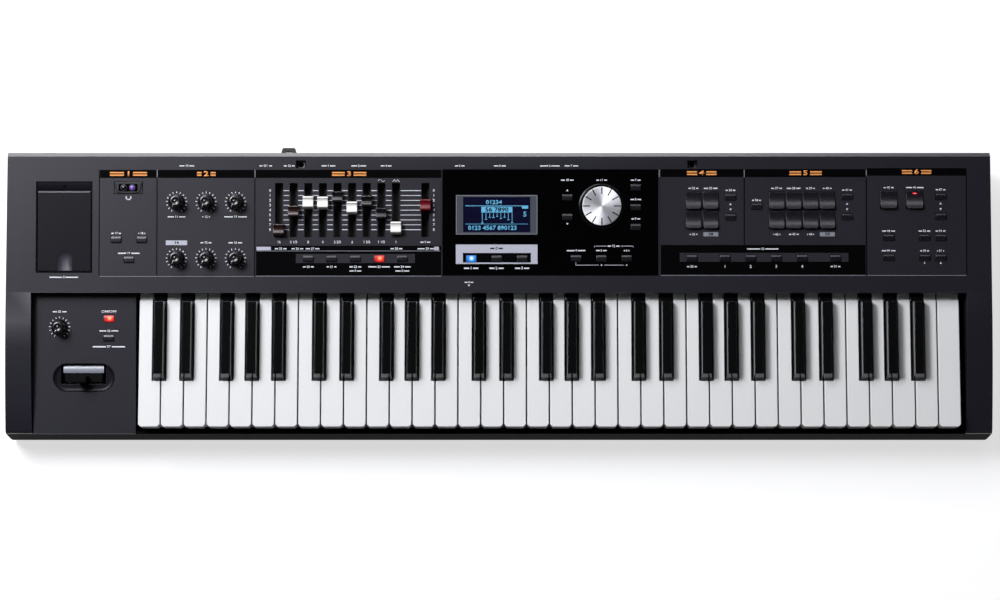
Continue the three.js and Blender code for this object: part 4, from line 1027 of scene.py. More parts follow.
SETS = (
    ButtonSet("beam_buttons", ((-390.3, 54.3), (-364.2, 54.3), (-377.4, 33.9)), ((-396, -358.5, 30.5, 58),)),
    ButtonSet(
        "organ_buttons",
        ((-194.3, 34.8), (-170.6, 34.8), (-146.3, 34.8), (-122.1, 34.8), (-98.4, 34.8)),
        ((-200, -92.5, 30.5, 39),),
    ),
    ButtonSet(
        "centre_buttons",
        ((-28.3, 34.8), (-2.4, 34.8), (23.7, 34.8), (78.7, 35.2), (104.5, 35.2), (130.2, 35.2), (69.8, 97.3),
         (69.8, 77.4), (139.6, 107.7), (139.6, 87.3), (139.6, 67.1)),
        ((-34, 145, 31, 39), (64, 75.5, 38.9, 101.5), (134, 144.9, 38.9, 112)),
    ),
    ButtonSet(
        "registration_buttons",
        ((196.8, 35.5), (230.5, 35.5), (256.7, 35.5), (282.8, 35.5), (309.2, 35.5), (343.1, 35.5)),
        ((191, 349, 31, 40),),
    ),
    ButtonSet(
        "tone_buttons",
        ((236.2, 98), (236.2, 77.5), (262.9, 88.3), (355.2, 98.4), (355.2, 77.8)),
        ((190, 361, 65, 104),),
        tall=((198.5, 94.1), (216.1, 94.1), (198.5, 74.2), (216.1, 74.2), (283.4, 94.1), (300.8, 94.1),
              (317.9, 94.1), (335, 94.1), (283.4, 74.2), (300.8, 74.2), (317.9, 74.2), (335, 74.2)),
    ),
    ButtonSet(
        "drum_buttons",
        ((450.6, 98.5), (450.6, 78.1), (397.4, 56.6), (397.4, 36.2), (434, 56.6), (434, 36.2), (450.4, 56.6),
         (450.4, 36.2)),
        ((389, 456.5, 32, 104),),
        broad=((397.6, 94.7), (424.2, 94.7)),
    ),
    ButtonSet("rotary_buttons", ((-399, -24.6), (-399, -44.4)), ((-404.5, -393.5, -48, -21),), face=BLOCK),
)


# Sub-assemblies


@dataclass
class Casing:
    """The two halves of the case, their boards and metalwork, and what is fixed to them."""

    width: float = 1008.0
    underside: float = 8.0
    screw_radius: float = 3.6
    foot_inset: float = 86.0
    number_ink: Point = (0.0, 0.06)

    def dress_nodes(self, nodes: dict[str, bpy.types.Object]) -> None:
        """Give the case's own CAD nodes their finishes.

        Args:
            nodes: The frame's nodes.
        """
        finishes = {
            "lower_case": BASE_BLACK_AND_PAINTED_SHADE, "controller_block": SHELL, "keybed_chassis": STEEL,
            "contact_board": LACQUER, "main_board": SWITCH, "panel_board": LACQUER, "centre_panel": GLOSS,
            "cord_hook": SWITCH, "power_button": SWITCH, "bender_frame": SWITCH,
            "foot_front_left": RUBBER, "foot_front_right": RUBBER, "foot_rear_left": RUBBER,
            "foot_rear_right": RUBBER,
        }
        for node, finish in finishes.items():
            dress(nodes[node], finish)

    def screws(self) -> None:
        """Add the sunk cross screws of the underside and of the feet."""
        spots = [(x, y) for x in (-470, -300, -100, 100, 300, 470) for y in (-120, 0, 118)]
        foot_x = self.width / 2 - self.foot_inset
        spots += [(x, y) for x in (-foot_x, foot_x) for y in (-105, 96)]
        heads, slots = Form(), Form()
        low = self.underside
        profile = [(self.screw_radius, low - 0.9), (self.screw_radius, low - 0.4), (2.9, low + 0.2)]
        for x, y in spots:
            heads.lathe(profile, x, y, 20)
            # The cross slots are black slabs on the heads: painted shade for their recesses.
            slots.slab(x - 2.0, x + 2.0, y - 0.45, y + 0.45, low - 1.0, low - 0.8)
            slots.slab(x - 0.45, x + 0.45, y - 2.0, y + 2.0, low - 1.0, low - 0.8)
        heads.piece("underside_screws", NICKEL)
        slots.piece("underside_screw_slots_painted_shade", INK_BLACK_AND_PAINTED_SHADE, smooth=False)

    def vents(self) -> None:
        """Add the rows of shallow cooling louvres on the underside and the bare plate beside them."""
        # The louvres are black pads, not openings: their black is painted shade.
        louvres = Form()
        for row in range(2):
            for i in range(14):
                x = -150 + i * 9.0 + row * 190
                louvres.prism(rounded(x, x + 4.5, 42, 74, 2.2), self.underside - 0.35, self.underside + 0.1)
        louvres.piece("underside_louvres_painted_shade", INK_BLACK_AND_PAINTED_SHADE, smooth=False)
        plate = Form().prism(rounded(-60, 40, -70, -20, 2.0), self.underside - 0.25, self.underside + 0.1)
        plate.piece("underside_plate", INK_SILVER, soft_mm=0.1)

    def rear_panel(self) -> None:
        """Add the nuts, rings, contacts and plain numbers of the sockets along the rear."""
        nuts, pins, cores, marks = Form(REAR), Form(REAR), Form(REAR), Form(REAR)
        for number, x in enumerate((-174, -152, -134, -115, -40, 52, 74), 1):
            nuts.lathe([(6.6, 0.05), (6.6, 1.2), (6.0, 1.7), (4.9, 1.7), (3.3, 1.2)], -x, 54, 24)
            # Each bore is a black plug in its socket: painted shade for the hole.
            cores.lathe([(3.15, -1.0), (3.15, 1.25)], -x, 54, 24)
            marks.digits(str(number), -x, 65.5, 3.4, *self.number_ink)
        for number, x in enumerate((-14, 16), 8):
            nuts.lathe([(9.2, 0.05), (9.2, 0.5), (8.6, 0.9), (7.5, 0.9), (7.3, 0.3)], -x, 57, 32)
            for turn in (-90, -45, 0, 45, 90):
                across, up = math.sin(math.radians(turn)), math.cos(math.radians(turn))
                pins.lathe([(0.7, -0.6), (0.7, 0.3)], -x + 4.4 * across, 57 + 4.4 * up, 10)
            marks.digits(str(number), -x, 70.5, 3.4, *self.number_ink)
        marks.digits("0 / 1", 237, 62.5, 3.2, *self.number_ink)
        marks.digits("10", 318.5, 64.5, 3.4, *self.number_ink)
        for v in (63, 61.6):
            marks.stroke([(209, v), (223, v)], 0.5, *self.number_ink)
        nuts.piece("socket_nuts", NICKEL, soft_mm=0.15)
        cores.piece("socket_bores_painted_shade", INK_BLACK_AND_PAINTED_SHADE)
        pins.piece("socket_contacts", NICKEL)
        marks.piece("rear_numbers", INK_WHITE, smooth=False)

    def case_screws(self) -> None:
        """Add the screws that close the rear of the case."""
        heads = Form(REAR)
        for x in (-480, -380, -200, 150, 300, 480):
            heads.lathe([(3.4, 0.05), (3.4, 0.5), (2.4, 1.1)], -x, 45, 20)
        heads.piece("rear_screws", NICKEL)

    def build(self, nodes: dict[str, bpy.types.Object]) -> None:
        """Build the case's pieces.

        Args:
            nodes: The frame's nodes.
        """
        self.dress_nodes(nodes)
        softened("top_case", SHELL, 0.3, 2, seams_mm=(-3.0,))
        self.screws()
        self.vents()
        self.rear_panel()
        self.case_screws()


@dataclass
class PanelPrint:
    """The printed fields, bars, lines and figures of the sloped panel."""

    field_top: float = 0.08
    ink_top: float = 0.16
    gap: float = 0.35

    @property
    def ink(self) -> Point:
        """The lower and the upper side of ink that lies on a field."""
        return self.field_top - 0.02, self.ink_top

    def openings(self) -> bpy.types.Object:
        """Make a cutter with the panel's button holes, slots and windows, to keep the prints off them."""
        form = Form(PANEL)
        low, high = CUTTER_SPAN
        for group in SETS:
            if group.face is not PANEL:
                continue
            for spots, size in ((group.small, SMALL), (group.tall, TALL), (group.broad, BROAD)):
                half_x, half_v = size[0] / 2 + self.gap, size[1] / 2 + self.gap
                form.slabs([(x - half_x, x + half_x, v - half_v, v + half_v) for x, v in spots], low, high)
        form.slabs([(x - 4, x + 4, SLOT_FRONT, SLOT_REAR) for x in SLOT_X], low, high)
        for x, v in KNOBS.values():
            form.prism(circle(x, v, 3.4, 16), low, high)
        form.slab(-392.7, -363.3, 100.7, 113.6, low, high)
        return form.piece("print_cutter", INK_BLACK_AND_PAINTED_SHADE, smooth=False)

    def fields(self) -> None:
        """Add the grey and black fields of the sections, cut free of every opening."""
        top = self.field_top
        grey = Form(PANEL).slabs(((-407, -349.9, 17.5, 117), (-347.6, -250.2, 17.5, 117),
                                  (-247.6, -58.8, 48.1, 117), (165.2, 249.2, 48.9, 118),
                                  (251.5, 373.8, 48.9, 118), (376.1, 476.5, 18.5, 119.4)), 0, top)
        bars = Form(PANEL).slabs(((-407, -349.4, 117.3, 125.5), (-348.1, -249.6, 117.3, 125.5),
                                  (-248.3, -58.8, 117.3, 125.6), (165.2, 249.7, 118.2, 126.3),
                                  (251.0, 374.3, 118.2, 126.3), (375.6, 476.3, 119.6, 127.3)), 0, top)
        for x, v0, v1 in ((-407.7, 17.5, 125.5), (-348.75, 17.5, 117.0), (-248.95, 17.5, 117.0),
                          (250.35, 48.9, 117.9), (374.95, 18.5, 119.3), (476.9, 18.5, 127.3)):
            bars.slab(x - 0.45, x + 0.45, v0, v1, 0, top)
        bars.piece("section_bars", INK_BLACK_AND_PAINTED_SHADE, smooth=False)
        black = Form(PANEL).slabs(((-247.6, -58.8, 17.8, 47.9), (165.2, 373.8, 18.5, 48.7)), 0, top)
        strips = Form(PANEL).slabs(((-207, -85.6, 30.3, 39.6), (184.4, 356.4, 31.6, 40.7)), *self.ink)
        cut_free(self.openings(), (grey, "section_fields", INK_FIELD), (black, "button_fields", INK_BLACK_AND_PAINTED_SHADE),
                 (strips, "button_strips", INK_STRIP))

    def lines(self) -> None:
        """Add the pale lines under the sections, the drawbars' scale and the rings round the knobs."""
        low, high = self.ink
        pale, bright = Form(PANEL), Form(PANEL)
        for x0, x1, v in ((-407, -250, 16.7), (-247.6, -58.8, 16.9), (164.9, 373.8, 17.7),
                          (376, 476.5, 17.7)):
            pale.slab(x0, x1, v - 0.25, v + 0.25, 0, self.field_top)
        pale.slab(-247, -60, 42.4, 42.9, low, high)
        for x in (-348.75, -248.9, 163.7, 250.35, 374.95):
            pale.slab(x - 0.3, x + 0.3, 118, 125.6, 0, self.field_top)
        for i in range(9):
            v = SCALE_TOP - i * SCALE_STEP
            pen = 0.35 if i in (0, 8) else 0.28
            for left, right in zip(SLOT_X, SLOT_X[1:]):
                bright.slab(left + 4.6, right - 4.6, v - pen, v + pen, low, high)
        for x, v in KNOBS.values():
            bright.ticks(x, v, RING_INNER, RING_OUTER, RING_TURNS, RING_PEN, low, high)
        self.waves(bright, low, high)
        pale.piece("panel_lines", INK_LINE, smooth=False)
        bright.piece("panel_scales", INK_WHITE, smooth=False)

    def waves(self, form: Form, low: float, high: float) -> None:
        """Add the smooth and the pointed wave signs over the last two slots.

        Args:
            form: The form that takes the ink.
            low: The ink's lower side.
            high: The ink's upper side.
        """
        smooth = [(SLOT_X[7] - 3.2 + i * 0.53, 114.6 + 1.1 * math.sin(i / 12 * 2 * math.pi))
                  for i in range(13)]
        pointed = [(SLOT_X[8] - 3.2 + i * 1.6, 113.6 + (2.1 if i % 2 else 0.0)) for i in range(5)]
        form.stroke(smooth, 0.45, low, high).stroke(pointed, 0.45, low, high)

    def arrows(self, form: Form, spots: Iterable[tuple[float, float, int]], low: float, high: float) -> None:
        """Add small triangles that point up or down the slope.

        Args:
            form: The form that takes the ink.
            spots: Middle across, middle up the slope, and 1 for up or -1 for down.
            low: The ink's lower side.
            high: The ink's upper side.
        """
        for x, v, way in spots:
            corners = [(x - 1.1, v - way * 0.9), (x + 1.1, v - way * 0.9), (x, v + way * 1.1)]
            form.prism(corners[::way], low, high)

    def label(self, form: Form, words: str, x: float, v: float, span: float, size: float, low: float,
              high: float) -> None:
        """Add a plain number between two dashes that together are as wide as a label.

        Args:
            form: The form that takes the ink.
            words: The number.
            x: The middle, across.
            v: The middle, up the slope.
            span: The label's width.
            size: The figures' height.
            low: The ink's lower side.
            high: The ink's upper side.
        """
        form.digits(words, x, v, size, low, high)
        inner = len(words) * size * 0.42 + size * 0.3
        if span / 2 - inner > size * 0.25:
            for side in (-1, 1):
                ends = sorted((x + side * inner, x + side * span / 2))
                form.slab(ends[0], ends[1], v - size * 0.25, v + size * 0.25, low, high)

    def headings(self) -> None:
        """Add the orange number and dashes on each section's bar."""
        form = Form(PANEL)
        spots = ((-378, 121.4, 38, "1"), (-298.7, 121.4, 19, "2"), (-152.8, 121.4, 35, "3"),
                 (207, 122.2, 30, "4"), (313, 122.2, 33, "5"), (426.3, 123.4, 30, "6"))
        for x, v, span, words in spots:
            form.digits(words, x, v, 4.8, *self.ink, wide=1.5)
            for side in (-1, 1):
                left, right = sorted((x + side * 4.6, x + side * max(span / 2, 8.5)))
                form.slabs(((left, right, v + 0.55, v + 2.0), (left, right, v - 2.0, v - 0.55)), *self.ink)
        form.piece("section_headings", INK_ORANGE, smooth=False)

    def figures(self) -> None:
        """Add the white numbers, dashes and arrows of the controls."""
        low, high = self.ink
        form = Form(PANEL)
        for i in range(9):
            for x in (-233.4, -66.4):
                form.digits(str(i), x, SCALE_TOP - i * SCALE_STEP, 2.6, low, high)
        for x, words in zip(SLOT_X, ("16", "5 1/3", "8", "4", "2 2/3", "2", "1 3/5", "1 1/3", "1")):
            form.digits(words, x, 51.6, 2.5, low, high)
        labels = [
            (SLOT_X[9], 51.6, 10, "9"), (-298.7, 77.5, 8, "12"), (-328.8, 77.5, 18, "11"),
            (-268.7, 77.5, 23, "13"), (-298.7, 51.0, 11, "15"), (-268.7, 51.0, 14, "16"),
            (-390.3, 60.6, 10, "17"), (-364.2, 60.6, 7, "18"), (-377.4, 40.3, 22, "19"),
            (-194.3, 26.4, 11, "20"), (-170.6, 26.4, 10, "21"), (-146.3, 26.4, 12, "22"),
            (-122.1, 26.4, 22, "23"), (-98.4, 26.4, 17, "24"), (-146.3, 22.2, 12, "0"),
            (-98.4, 22.2, 14, "0"), (-222.5, 44.9, 12, "25"), (-205.5, 44.9, 12, "26"),
            (-190, 44.9, 14, "27"), (-104.5, 44.9, 12, "28"), (-73, 44.9, 20, "29"), (196.8, 26.6, 10, "30"),
            (343.1, 26.8, 10, "31"), (198.5, 106.6, 10, "32"), (216.1, 106.6, 14, "33"),
            (236.2, 104.6, 10, "34"), (198.5, 59.6, 8, "35"), (262.9, 94.4, 9, "36"),
            (283.4, 106.6, 11, "37"), (300.8, 106.6, 14, "38"), (317.9, 106.6, 9, "39"),
            (335, 106.6, 9, "40"), (355.2, 104.8, 10, "41"), (283.4, 59.6, 7, "42"), (300.8, 59.6, 10, "43"),
            (317.9, 59.6, 7, "44"), (397.6, 107.4, 10, "45"), (424.2, 107.4, 18, "46"),
            (450.6, 105.2, 10, "47"), (397.4, 63.0, 13, "48"), (397.4, 42.8, 14, "49"),
            (434, 42.8, 9, "50"), (450.4, 42.8, 7, "51"), (269, 44.7, 32, "52"), (-443.5, 15.8, 29, "0"),
            (434, 63.0, 12, "53"), (450.4, 63.0, 10, "54"),
        ]
        for x, v, span, words in labels:
            self.label(form, words, x, v, span, 2.3, low, high)
        for x, words in ((230.5, "1"), (256.7, "2"), (282.8, "3"), (309.2, "4")):
            form.digits(words, x, 26.6, 2.8, low, high)
        for x, span, words in ((-318.5, 15, "10"), (-238, 13, "0/1"), (-214, 11, "12"), (-174, 14, "1"),
                               (-143, 15, "2"), (-115, 11, "4"), (-40, 10, "5"), (1, 12, "8"),
                               (52, 20, "6"), (74, 14, "7")):
            self.label(form, words, x, 129.6, span, 2.2, 0.0, self.field_top)
        self.arrows(form, [(236.2, 90.6, 1), (236.2, 84.9, -1), (355.2, 90.8, 1), (355.2, 85.2, -1),
                           (450.6, 91.2, 1), (450.6, 85.4, -1), (-30.5, 7.4, -1)], low, high)
        self.label(form, "0", -30.5, 10.6, 9, 2.0, 0.0, self.field_top)
        form.stroke([(-380.2, 97.9), (-380.2, 96.4), (-378.9, 95.3), (-376.9, 95.3), (-375.6, 96.4),
                     (-375.6, 97.9)], 1.2, low, high)
        form.digits("0", 434, 30.2, 2.0, low, high).prism(circle(450.4, 30.2, 0.9, 12), low, high)
        form.piece("panel_figures", INK_WHITE, smooth=False)
        chips = ((-339.7, -317.9, 48.6, 53.4), (-247.2, -232.5, 43.3, 47.0), (-66, -61.2, 43.3, 47.0))
        Form(PANEL).slabs(chips, low, high).piece("panel_chips", INK_SILVER, smooth=False)
        dim_chips = ((208.6, 223.6, 57.6, 61.8), (327.4, 342.6, 57.6, 61.8))
        Form(PANEL).slabs(dim_chips, low, high).piece("panel_dim_chips", INK_LINE, smooth=False)
        dark = Form(PANEL)
        for x, v, words in ((-328.8, 51.0, "14"), (216.1, 59.7, "58"), (335, 59.7, "59")):
            dark.digits(words, x, v, 2.6, high - 0.02, high + 0.06, wide=1.3)
        dark.piece("chip_figures", INK_BLACK_AND_PAINTED_SHADE, smooth=False)

    def block_figures(self) -> None:
        """Add the ring of ticks and the figures of the controller block."""
        form = Form(BLOCK)
        x, v = VOLUME
        ink = (0.0, self.field_top)
        form.ticks(x, v, RING_INNER, RING_OUTER, RING_TURNS, RING_PEN, *ink)
        form.digits("ON/OFF", -399, -17.6, 2.6, *ink, wide=1.15)
        self.label(form, "55", x, -17.6, 14, 2.3, *ink)
        self.label(form, "56", -399, -37.2, 19, 2.3, *ink)
        self.label(form, "57", -399, -53.4, 33, 2.6, *ink)
        form.piece("block_figures", INK_WHITE, smooth=False)

    def build(self) -> None:
        """Build every print of the panel."""
        self.fields()
        self.lines()
        self.headings()
        self.figures()
        self.block_figures()


@dataclass
class ButtonCaps:
    """The moulded caps of the button sets, with the carriers that join them."""

    height: float = 1.8
    tall_height: float = 4.0
    plate_low: float = -5.3
    plate_high: float = -3.8

    def small_cap(self, form: Form, x: float, v: float) -> None:
        """Add a low cap whose rear edge falls away in a wide chamfer.

        Args:
            form: The form that takes the cap.
            x: Its middle, across.
            v: Its middle, up the slope.
        """
        half = SMALL[1] / 2
        top = self.height
        low = self.plate_high
        profile = [(v - half, low), (v + half, low), (v + half, top - 0.9), (v + half - 0.35, top - 0.6),
                   (v + half - 2.0, top - 0.08), (v + half - 2.35, top), (v - half + 0.5, top),
                   (v - half, top - 0.5)]
        form.band(profile, x - SMALL[0] / 2, x + SMALL[0] / 2)

    def tablet(self, form: Form, x: float, v: float, size: Point) -> None:
        """Add a dished tablet that rises from a low rear edge to a rounded front lip.

        Args:
            form: The form that takes the tablet.
            x: Its middle, across.
            v: Its middle, up the slope.
            size: Its width and its length up the slope.
        """
        wide, half = size[0] / 2, size[1] / 2
        front, rear = v - half, v + half
        round_off = 3.2
        rows = [(rear, 0.35, wide - 0.35), (rear - 0.35, 0.75, wide)]
        for i in range(15):
            share = i / 14
            place = rear - 0.9 - share * (size[1] - 2.1)
            rows.append((place, 0.85 + 2.95 * share ** 2.15, wide))
        rows += [(front + 0.75, self.tall_height - 0.06, wide), (front + 0.35, self.tall_height - 0.3, wide),
                 (front + 0.08, self.tall_height - 1.0, wide), (front, self.tall_height - 1.9, wide)]
        shaped = []
        for place, height, reach in rows:
            near = place - front
            if near < round_off:
                inside = max(round_off ** 2 - (round_off - near) ** 2, 0.0)
                reach -= round_off - math.sqrt(inside)
            shaped.append((place, height, max(reach, wide - round_off)))
        form.saddle(shaped, x, self.plate_high)

    def lamps(self) -> None:
        """Add the small light windows of the tablets, one of them lit."""
        sets = {group.node: group for group in SETS}
        dark, lit = Form(PANEL), Form(PANEL)
        for x, v in sets["tone_buttons"].tall:
            dark.slab(x - 1.6, x + 1.6, v + 6.3, v + 7.1, 0.7, 1.0)
        (x, v), (lit_x, lit_v) = sets["drum_buttons"].broad
        dark.slab(x - 1.9, x + 1.9, v + 6.3, v + 7.1, 0.7, 1.0)
        lit.slab(lit_x - 2.0, lit_x + 2.0, lit_v + 6.2, lit_v + 7.2, 0.7, 1.05)
        dark.piece("tone_lamps", LED_OFF, "tone_buttons", soft_mm=0.15)
        lit.piece("drum_lamp", LED_RED, "drum_buttons", soft_mm=0.15)

    def build(self) -> None:
        """Build each set with the plates that join its caps, and its lit cap in a finish of its own."""
        lit = {(-122.1, 34.8): LIT_ORGAN, (-28.3, 34.8): LIT_MODE, (-399, -24.6): LIT_ROTARY}
        for group in SETS:
            caps = Form(group.face)
            for x, v in group.small:
                if (x, v) in lit:
                    glowing = Form(group.face)
                    self.small_cap(glowing, x, v)
                    glowing.piece(f"{group.node}_lit", lit[(x, v)], group.node, soft_mm=0.4, steps=3)
                else:
                    self.small_cap(caps, x, v)
            for x, v in group.tall:
                self.tablet(caps, x, v, TALL)
            for x, v in group.broad:
                self.tablet(caps, x, v, BROAD)
            made = caps.piece(f"{group.node}_caps", BUTTON, group.node, soft_mm=0.55, steps=3)
            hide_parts(group.node)
            plates = Form(group.face).slabs(group.plates, self.plate_low, self.plate_high + 0.05)
            plates.piece(f"{group.node}_carrier", SWITCH, group.node, soft_mm=0.3)
        self.lamps()


@dataclass
class Knob:
    """A turned knob: skirt, gripped body and a polished crown with a pointer line."""

    node: str
    x: float
    v: float
    face: Slope = PANEL
    skirt: float = 8.2
    body: float = 6.8
    crown: float = 5.9
    height: float = 15.8
    foot: float = 0.5
    turn: float = 210.0

    def build(self) -> None:
        """Build the knob and the pointer that it carries."""
        low, high = self.foot, self.foot + self.height
        form = Form(self.face)
        profile = [(2.6, low - 9), (2.6, low), (self.skirt - 0.3, low), (self.skirt, low + 0.3),
                   (self.skirt, low + 1.3), (self.skirt - 0.5, low + 1.9), (self.body + 0.25, low + 2.6),
                   (self.body, low + 3.6), (self.crown + 0.55, high - 2.2), (self.crown + 0.4, high - 1.2),
                   (self.crown - 0.1, high - 0.75), (self.crown - 0.9, high - 0.3),
                   (self.crown - 1.9, high - 0.05), (self.crown - 2.4, high - 0.1),
                   (self.crown - 2.9, high - 0.5), (1.7, high - 0.6), (1.3, high - 0.35), (0.7, high - 0.2),
                   (0.2, high - 0.18)]
        form.lathe(profile, self.x, self.v, 96, flutes=24, flute_depth=0.34, fluted=range(7, 10))
        made = form.piece(f"{self.node}_fine", KNOB, self.node)
        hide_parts(self.node)
        pointer = Form(self.face)
        pointer.ticks(self.x, self.v, 3.5, 4.9, (self.turn,), 0.6, high - 0.62, high - 0.02)
        pointer.ticks(self.x, self.v, 6.15, 6.4, (self.turn,), 0.6, low + 7.5, high - 2.6)
        pointer.piece(f"{self.node}_pointer", INK_WHITE, self.node, soft_mm=0.08)


@dataclass
class ValueDial:
    """The large dial: a glossy skirt, a brushed disc with twelve marks and a finger dish."""

    skirt: float = 23.4
    disc: float = 20.3
    top: float = 8.9

    def build(self) -> None:
        """Build the dial's three turned parts and its marks."""
        x, v = DIAL
        ring = Form(PANEL)
        profile = [(3.0, -6), (3.0, 0.45), (self.skirt - 0.6, 0.45), (self.skirt - 0.1, 0.7),
                   (self.skirt - 0.05, 1.2), (self.skirt - 0.6, 1.6), (self.disc + 0.6, 1.75),
                   (self.disc + 0.1, 2.6), (self.disc - 0.1, 7.6), (self.disc - 0.5, 8.2), (0.4, 8.2)]
        ring.lathe(profile, x, v, 128, flutes=48, flute_depth=0.25, fluted=range(7, 9))
        made = ring.piece("value_dial_skirt", DIAL_BLACK, "value_dial")
        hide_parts("value_dial")
        disc = Form(PANEL)
        disc.lathe([(self.disc - 0.55, 8.15), (self.disc - 0.55, self.top - 0.25),
                    (self.disc - 0.9, self.top - 0.04), (self.disc - 10, self.top - 0.06),
                    (0.3, self.top - 0.1)], x, v, 128)
        disc.piece("value_dial_disc", DIAL_FACE, "value_dial")
        marks = Form(PANEL)
        marks.ticks(x, v, self.disc * 0.63, self.disc * 0.93, range(0, 360, 30), 1.15, self.top - 0.12,
                    self.top)
        marks.piece("value_dial_marks", INK_BLACK_AND_PAINTED_SHADE, "value_dial", smooth=False)


@dataclass
class Drawbar:
    """One drawbar: its cap, its stem through the slot and the carriage on the slide control."""

    node: str
    x: float
    setting: float
    finish: Finish
    width: float = 10.7
    length: float = 13.2
    foot: float = 0.6
    crown: float = 10.0
    board: float = -16.0
    pushed_in: float = 104.0
    step: float = 5.0

    def build(self) -> None:
        """Build the cap with its concave top and front lip, and the parts under it."""
        v = self.pushed_in - self.step * self.setting
        half = self.length / 2
        rows: list[Point] = [(v - half, self.foot), (v + half, self.foot), (v + half, self.foot + 0.7),
                             (v + half * 0.87, self.foot + 6.6), (v + half * 0.78, self.crown - 0.25),
                             (v + half * 0.68, self.crown)]
        for i in range(1, 12):
            share = i / 11
            reach = v + half * 0.66 - share * (half * 1.28)
            sag = 1.8 * abs(math.sin(math.pi * min(1.0, share * 1.06) ** 0.62)) ** 0.9
            rows.append((reach, self.crown - 0.55 * share - sag if share < 0.94 else self.crown - 0.62))
        rows += [(v - half * 0.72, self.crown - 0.9), (v - half * 0.84, self.crown - 2.6),
                 (v - half, self.foot + 1.5)]
        cap = Form(PANEL).band(rows, self.x - self.width / 2, self.x + self.width / 2)
        made = cap.piece(f"{self.node}_cap", self.finish, self.node, soft_mm=0.6, steps=3)
        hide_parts(self.node)
        under = Form(PANEL)
        under.slab(self.x - 1.75, self.x + 1.75, v - 2.5, v + 2.5, self.board, self.foot + 0.2)
        under.slab(self.x - 3.7, self.x + 3.7, v - 4.5, v + 4.5, self.board, self.board + 2.4)
        under.piece(f"{self.node}_stem", STEEL, self.node, soft_mm=0.2)


@dataclass
class Display:
    """The screen module: grey surround, lit graphics and a clear window."""

    surround: Box = (-43.9, 39.4, 59.3, 99.8)
    screen: Box = (-36.2, 32.0, 61.9, 97.4)
    floor: float = -0.55

    def picture(self) -> None:
        """Draw the screen's lines, boxes and figures in its own glowing ink."""
        x0, x1, v0, v1 = self.screen
        low, high = self.floor, self.floor + 0.08
        back = Form(PANEL).slab(x0, x1, v0, v1, low - 0.02, low + 0.02)
        back.piece("screen_ground", SCREEN_GROUND, smooth=False)
        glow = Form(PANEL)
        left, right = x0 + 2.0, x1 - 2.2
        wide = (x1 - x0) / 280
        high_v = (v1 - v0) / 145
        glow.digits("01234", x0 + 128 * wide, v1 - 21 * high_v, 4.0, low, high, wide=1.15)
        glow.slab(left, right, v1 - 36.5 * high_v, v1 - 34.0 * high_v, low, high)
        glow.slab(right - 6.4, right, v1 - 47 * high_v, v1 - 36 * high_v, low, high)
        glow.slab(x0 + 75 * wide, x0 + 205 * wide, v1 - 63 * high_v, v1 - 39 * high_v, low, high)
        for i in range(9):
            x = x0 + (79 + i * 15.6) * wide
            foot = v1 - (72 + 4.2 * SETTINGS[i]) * high_v
            glow.slab(x - 0.28, x + 0.28, foot, v1 - 65 * high_v, low, high)
            glow.slab(x - 1.15, x + 1.15, foot - 0.7, foot, low, high)
        glow.digits("5", right - 3.2, v1 - 71 * high_v, 5.0, low, high)
        glow.slab(left, right, v0 + 33.0 * high_v, v0 + 34.6 * high_v, low, high)
        glow.digits("0123 4567 890123", x0 + 122 * wide, v0 + 17 * high_v, 4.2, low, high, wide=1.1)
        glow.piece("screen_graphics", SCREEN_GLOW, smooth=False)
        inverse = Form(PANEL)
        inverse.digits("56 7890", x0 + 140 * wide, v1 - 51.5 * high_v, 4.1, high - 0.02, high + 0.08,
                       wide=1.25)
        inverse.piece("screen_inverse_figures", SCREEN_GROUND, smooth=False)
        cover = Form(PANEL).slab(x0 - 0.1, x1 + 0.1, v0 - 0.1, v1 + 0.1, low + 0.25, low + 0.6)
        cover.piece("screen_window", WINDOW, smooth=False)

    def build(self, nodes: dict[str, bpy.types.Object]) -> None:
        """Dress the module and draw its screen.

        Args:
            nodes: The frame's nodes.
        """
        dress(nodes["display_module"], FRAME_GREY)
        self.picture()
        x0, x1, v0, v1 = self.surround
        trim = Form(PANEL)
        left, right, lower, upper = x0 + 0.6, x1 - 0.6, v0 + 0.6, v1 - 0.6
        trim.stroke([(left, lower), (right, lower), (right, upper), (left, upper), (left, lower)],
                    0.5, 0.55, 0.66)
        trim.piece("screen_trim", INK_LINE, smooth=False)


